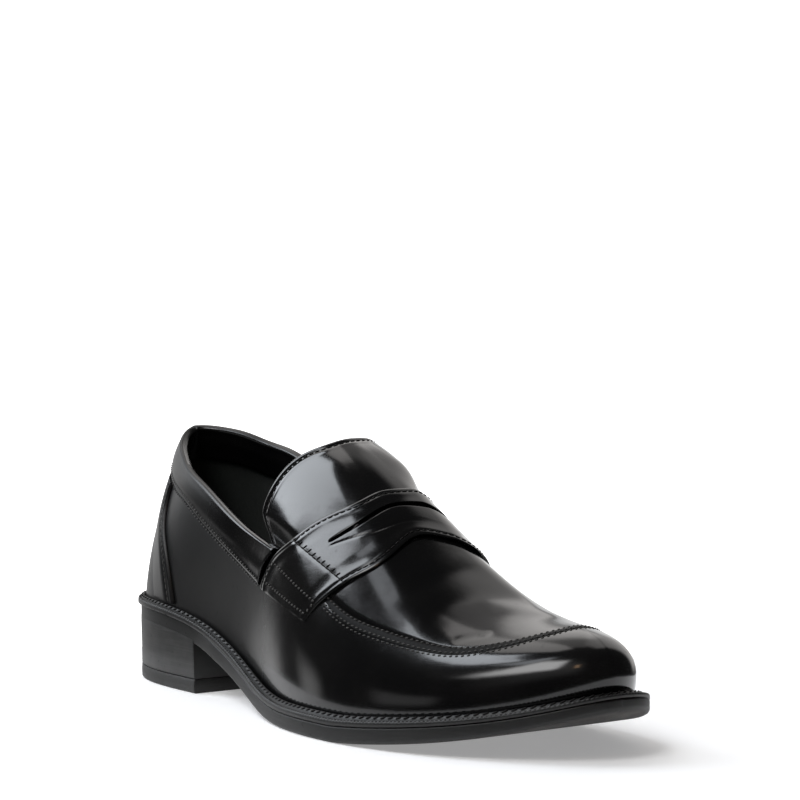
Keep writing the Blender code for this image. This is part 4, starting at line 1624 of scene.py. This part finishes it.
@dataclass(frozen=True)
class Lamp:
    """A small lamp: its bearing, elevation, distance, size, radiance and tint."""

    name: str
    bearing: float
    elevation: float
    away: float
    size: tuple[float, float]
    radiance: float
    tint: tuple[float, float, float]
    aim: tuple[float, float, float] = (0.0, -0.1, 0.05)

    def build(self) -> None:
        """Adds the lamp, turned to the shoe."""
        a, e = math.radians(self.bearing), math.radians(self.elevation)
        way = Vector((math.sin(a) * math.cos(e), math.cos(a) * math.cos(e), math.sin(e)))
        light = bpy.data.lights.new(self.name, "AREA")
        light.shape = "RECTANGLE"
        light.size, light.size_y = self.size
        light.energy = self.radiance * math.pi * self.size[0] * self.size[1]
        light.color = self.tint
        obj = bpy.data.objects.new(self.name, light)
        obj.location = Vector(self.aim) + way * self.away
        obj.rotation_euler = way.to_track_quat("Z", "Y").to_euler()
        obj.visible_camera = False
        bpy.context.scene.collection.objects.link(obj)


COOL = (0.93, 0.98, 1.04)
WARM = (1.02, 0.99, 0.97)


@dataclass
class Studio:
    """Pale table, soft light and the camera at the photograph's angle."""

    room: tuple[Glow, ...] = (
        Glow((-55.0, -17.0), (19.0, 66.0), 5.6, 0.8, COOL, (1.2, -20.5)),
        Glow((-78.0, -60.5), (60.0, 74.0), 2.6, 1.5, COOL),
        Glow((-121.0, -81.0), (42.0, 67.0), 6.5, 5.0),
        Glow((-150.0, -100.0), (22.0, 60.0), 0.3, 14.0),
        Glow((0.0, 50.0), (24.0, 46.0), 1.45, 5.0, WARM),
        Glow((-7.0, 24.0), (46.0, 73.0), 1.6, 2.5, WARM),
        Glow((24.0, 50.0), (46.0, 70.0), 0.45, 4.0, WARM),
        Glow((49.0, 78.0), (-5.0, 66.0), 0.8, 6.0, WARM),
        Glow((-9.0, 50.0), (-30.0, 20.0), 1.0, 3.0),
        Glow((-33.0, -22.0), (-16.0, -2.0), 0.8, 4.0),
        Glow((-86.0, -62.0), (-7.0, 6.0), 0.42, 4.0),
        Glow((-16.0, -5.0), (5.0, 18.0), 1.5, 3.0),
    )
    ambient: float = 0.04
    lamp: Lamp = Lamp("warm_lamp", -145.0, 42.0, 1.3, (0.10, 0.26), 3.0, (1.0, 0.62, 0.34))
    table_half: tuple[float, float] = (0.15, 0.24)
    table_middle: tuple[float, float] = (0.055, -0.02)
    eye: tuple[float, float, float] = (-0.53577, -0.77300, 0.15158)
    yaw: float = -35.842
    pitch: float = 1.668
    focal: float = 2359.3
    frame: int = 800

    def build(self) -> None:
        """Makes the table, the room, the lamp and the camera."""
        self.build_floor()
        self.build_room()
        self.lamp.build()
        self.build_camera()
        bpy.context.scene.view_settings.view_transform = "Standard"

    def build_floor(self) -> None:
        """Oval white table top at the floor's height."""
        bm = bmesh.new()
        shape = Matrix.Translation((*self.table_middle, 0.0))
        shape = shape @ Matrix.Diagonal((*self.table_half, 1, 1))
        bmesh.ops.create_circle(bm, cap_ends=True, radius=1.0, segments=96, matrix=shape)
        mesh = bpy.data.meshes.new("floor")
        bm.to_mesh(mesh)
        bm.free()
        floor = bpy.data.objects.new("floor", mesh)
        mesh.materials.append(Ground("floor").material())
        bpy.context.scene.collection.objects.link(floor)

    def build_room(self) -> None:
        """Room of soft panels round the shoe, plain white where the camera looks at it."""
        world = bpy.data.worlds.new("room")
        bpy.context.scene.world = world
        world.use_nodes = True
        maker = NodeMaker(world.node_tree)
        way = maker.node("ShaderNodeTexCoord", output="Generated")
        x, y, z = (
            maker.node("ShaderNodeSeparateXYZ", {}, {0: way}, output=axis) for axis in "XYZ"
        )
        bearing = x.maths("ARCTAN2", x, y) * math.degrees(1.0)
        elevation = z.maths("ARCSINE", z) * math.degrees(1.0)
        seen = maker.node("ShaderNodeLightPath", output="Is Camera Ray")
        light = (seen * (1.0 - self.ambient) + self.ambient).tinted((1.0, 1.0, 1.0))
        for glow in self.room:
            light = light.plus(glow.colour(bearing, elevation))
        maker.feed(world.node_tree.nodes["Background"], {"Color": light})

    def build_camera(self) -> None:
        """Level long-lens camera in front of the lateral side."""
        a, e = math.radians(self.yaw), math.radians(self.pitch)
        back = Vector((math.sin(a) * math.cos(e), -math.cos(a) * math.cos(e), math.sin(e)))
        data = bpy.data.cameras.new("camera")
        data.sensor_width = 36.0
        data.lens = self.focal / self.frame * data.sensor_width
        data.clip_start, data.clip_end = 0.01, 50.0
        camera = bpy.data.objects.new("camera", data)
        camera.location = self.eye
        camera.rotation_euler = (-back).to_track_quat("-Z", "Y").to_euler()
        bpy.context.scene.collection.objects.link(camera)
        bpy.context.scene.camera = camera


def main() -> None:
    """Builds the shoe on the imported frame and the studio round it."""
    logging.basicConfig(level=logging.INFO, format="%(name)s %(message)s")
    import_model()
    last, pattern = Last(), Pattern()
    Studio().build()
    Bottom(last).build()
    Upper(last, pattern).build()
    Tongue(last, pattern).build()
    Saddle(last, pattern).build()
    Collar(last, pattern).build()
    Backstay(last, pattern).build()


if __name__ == "__main__":
    main()
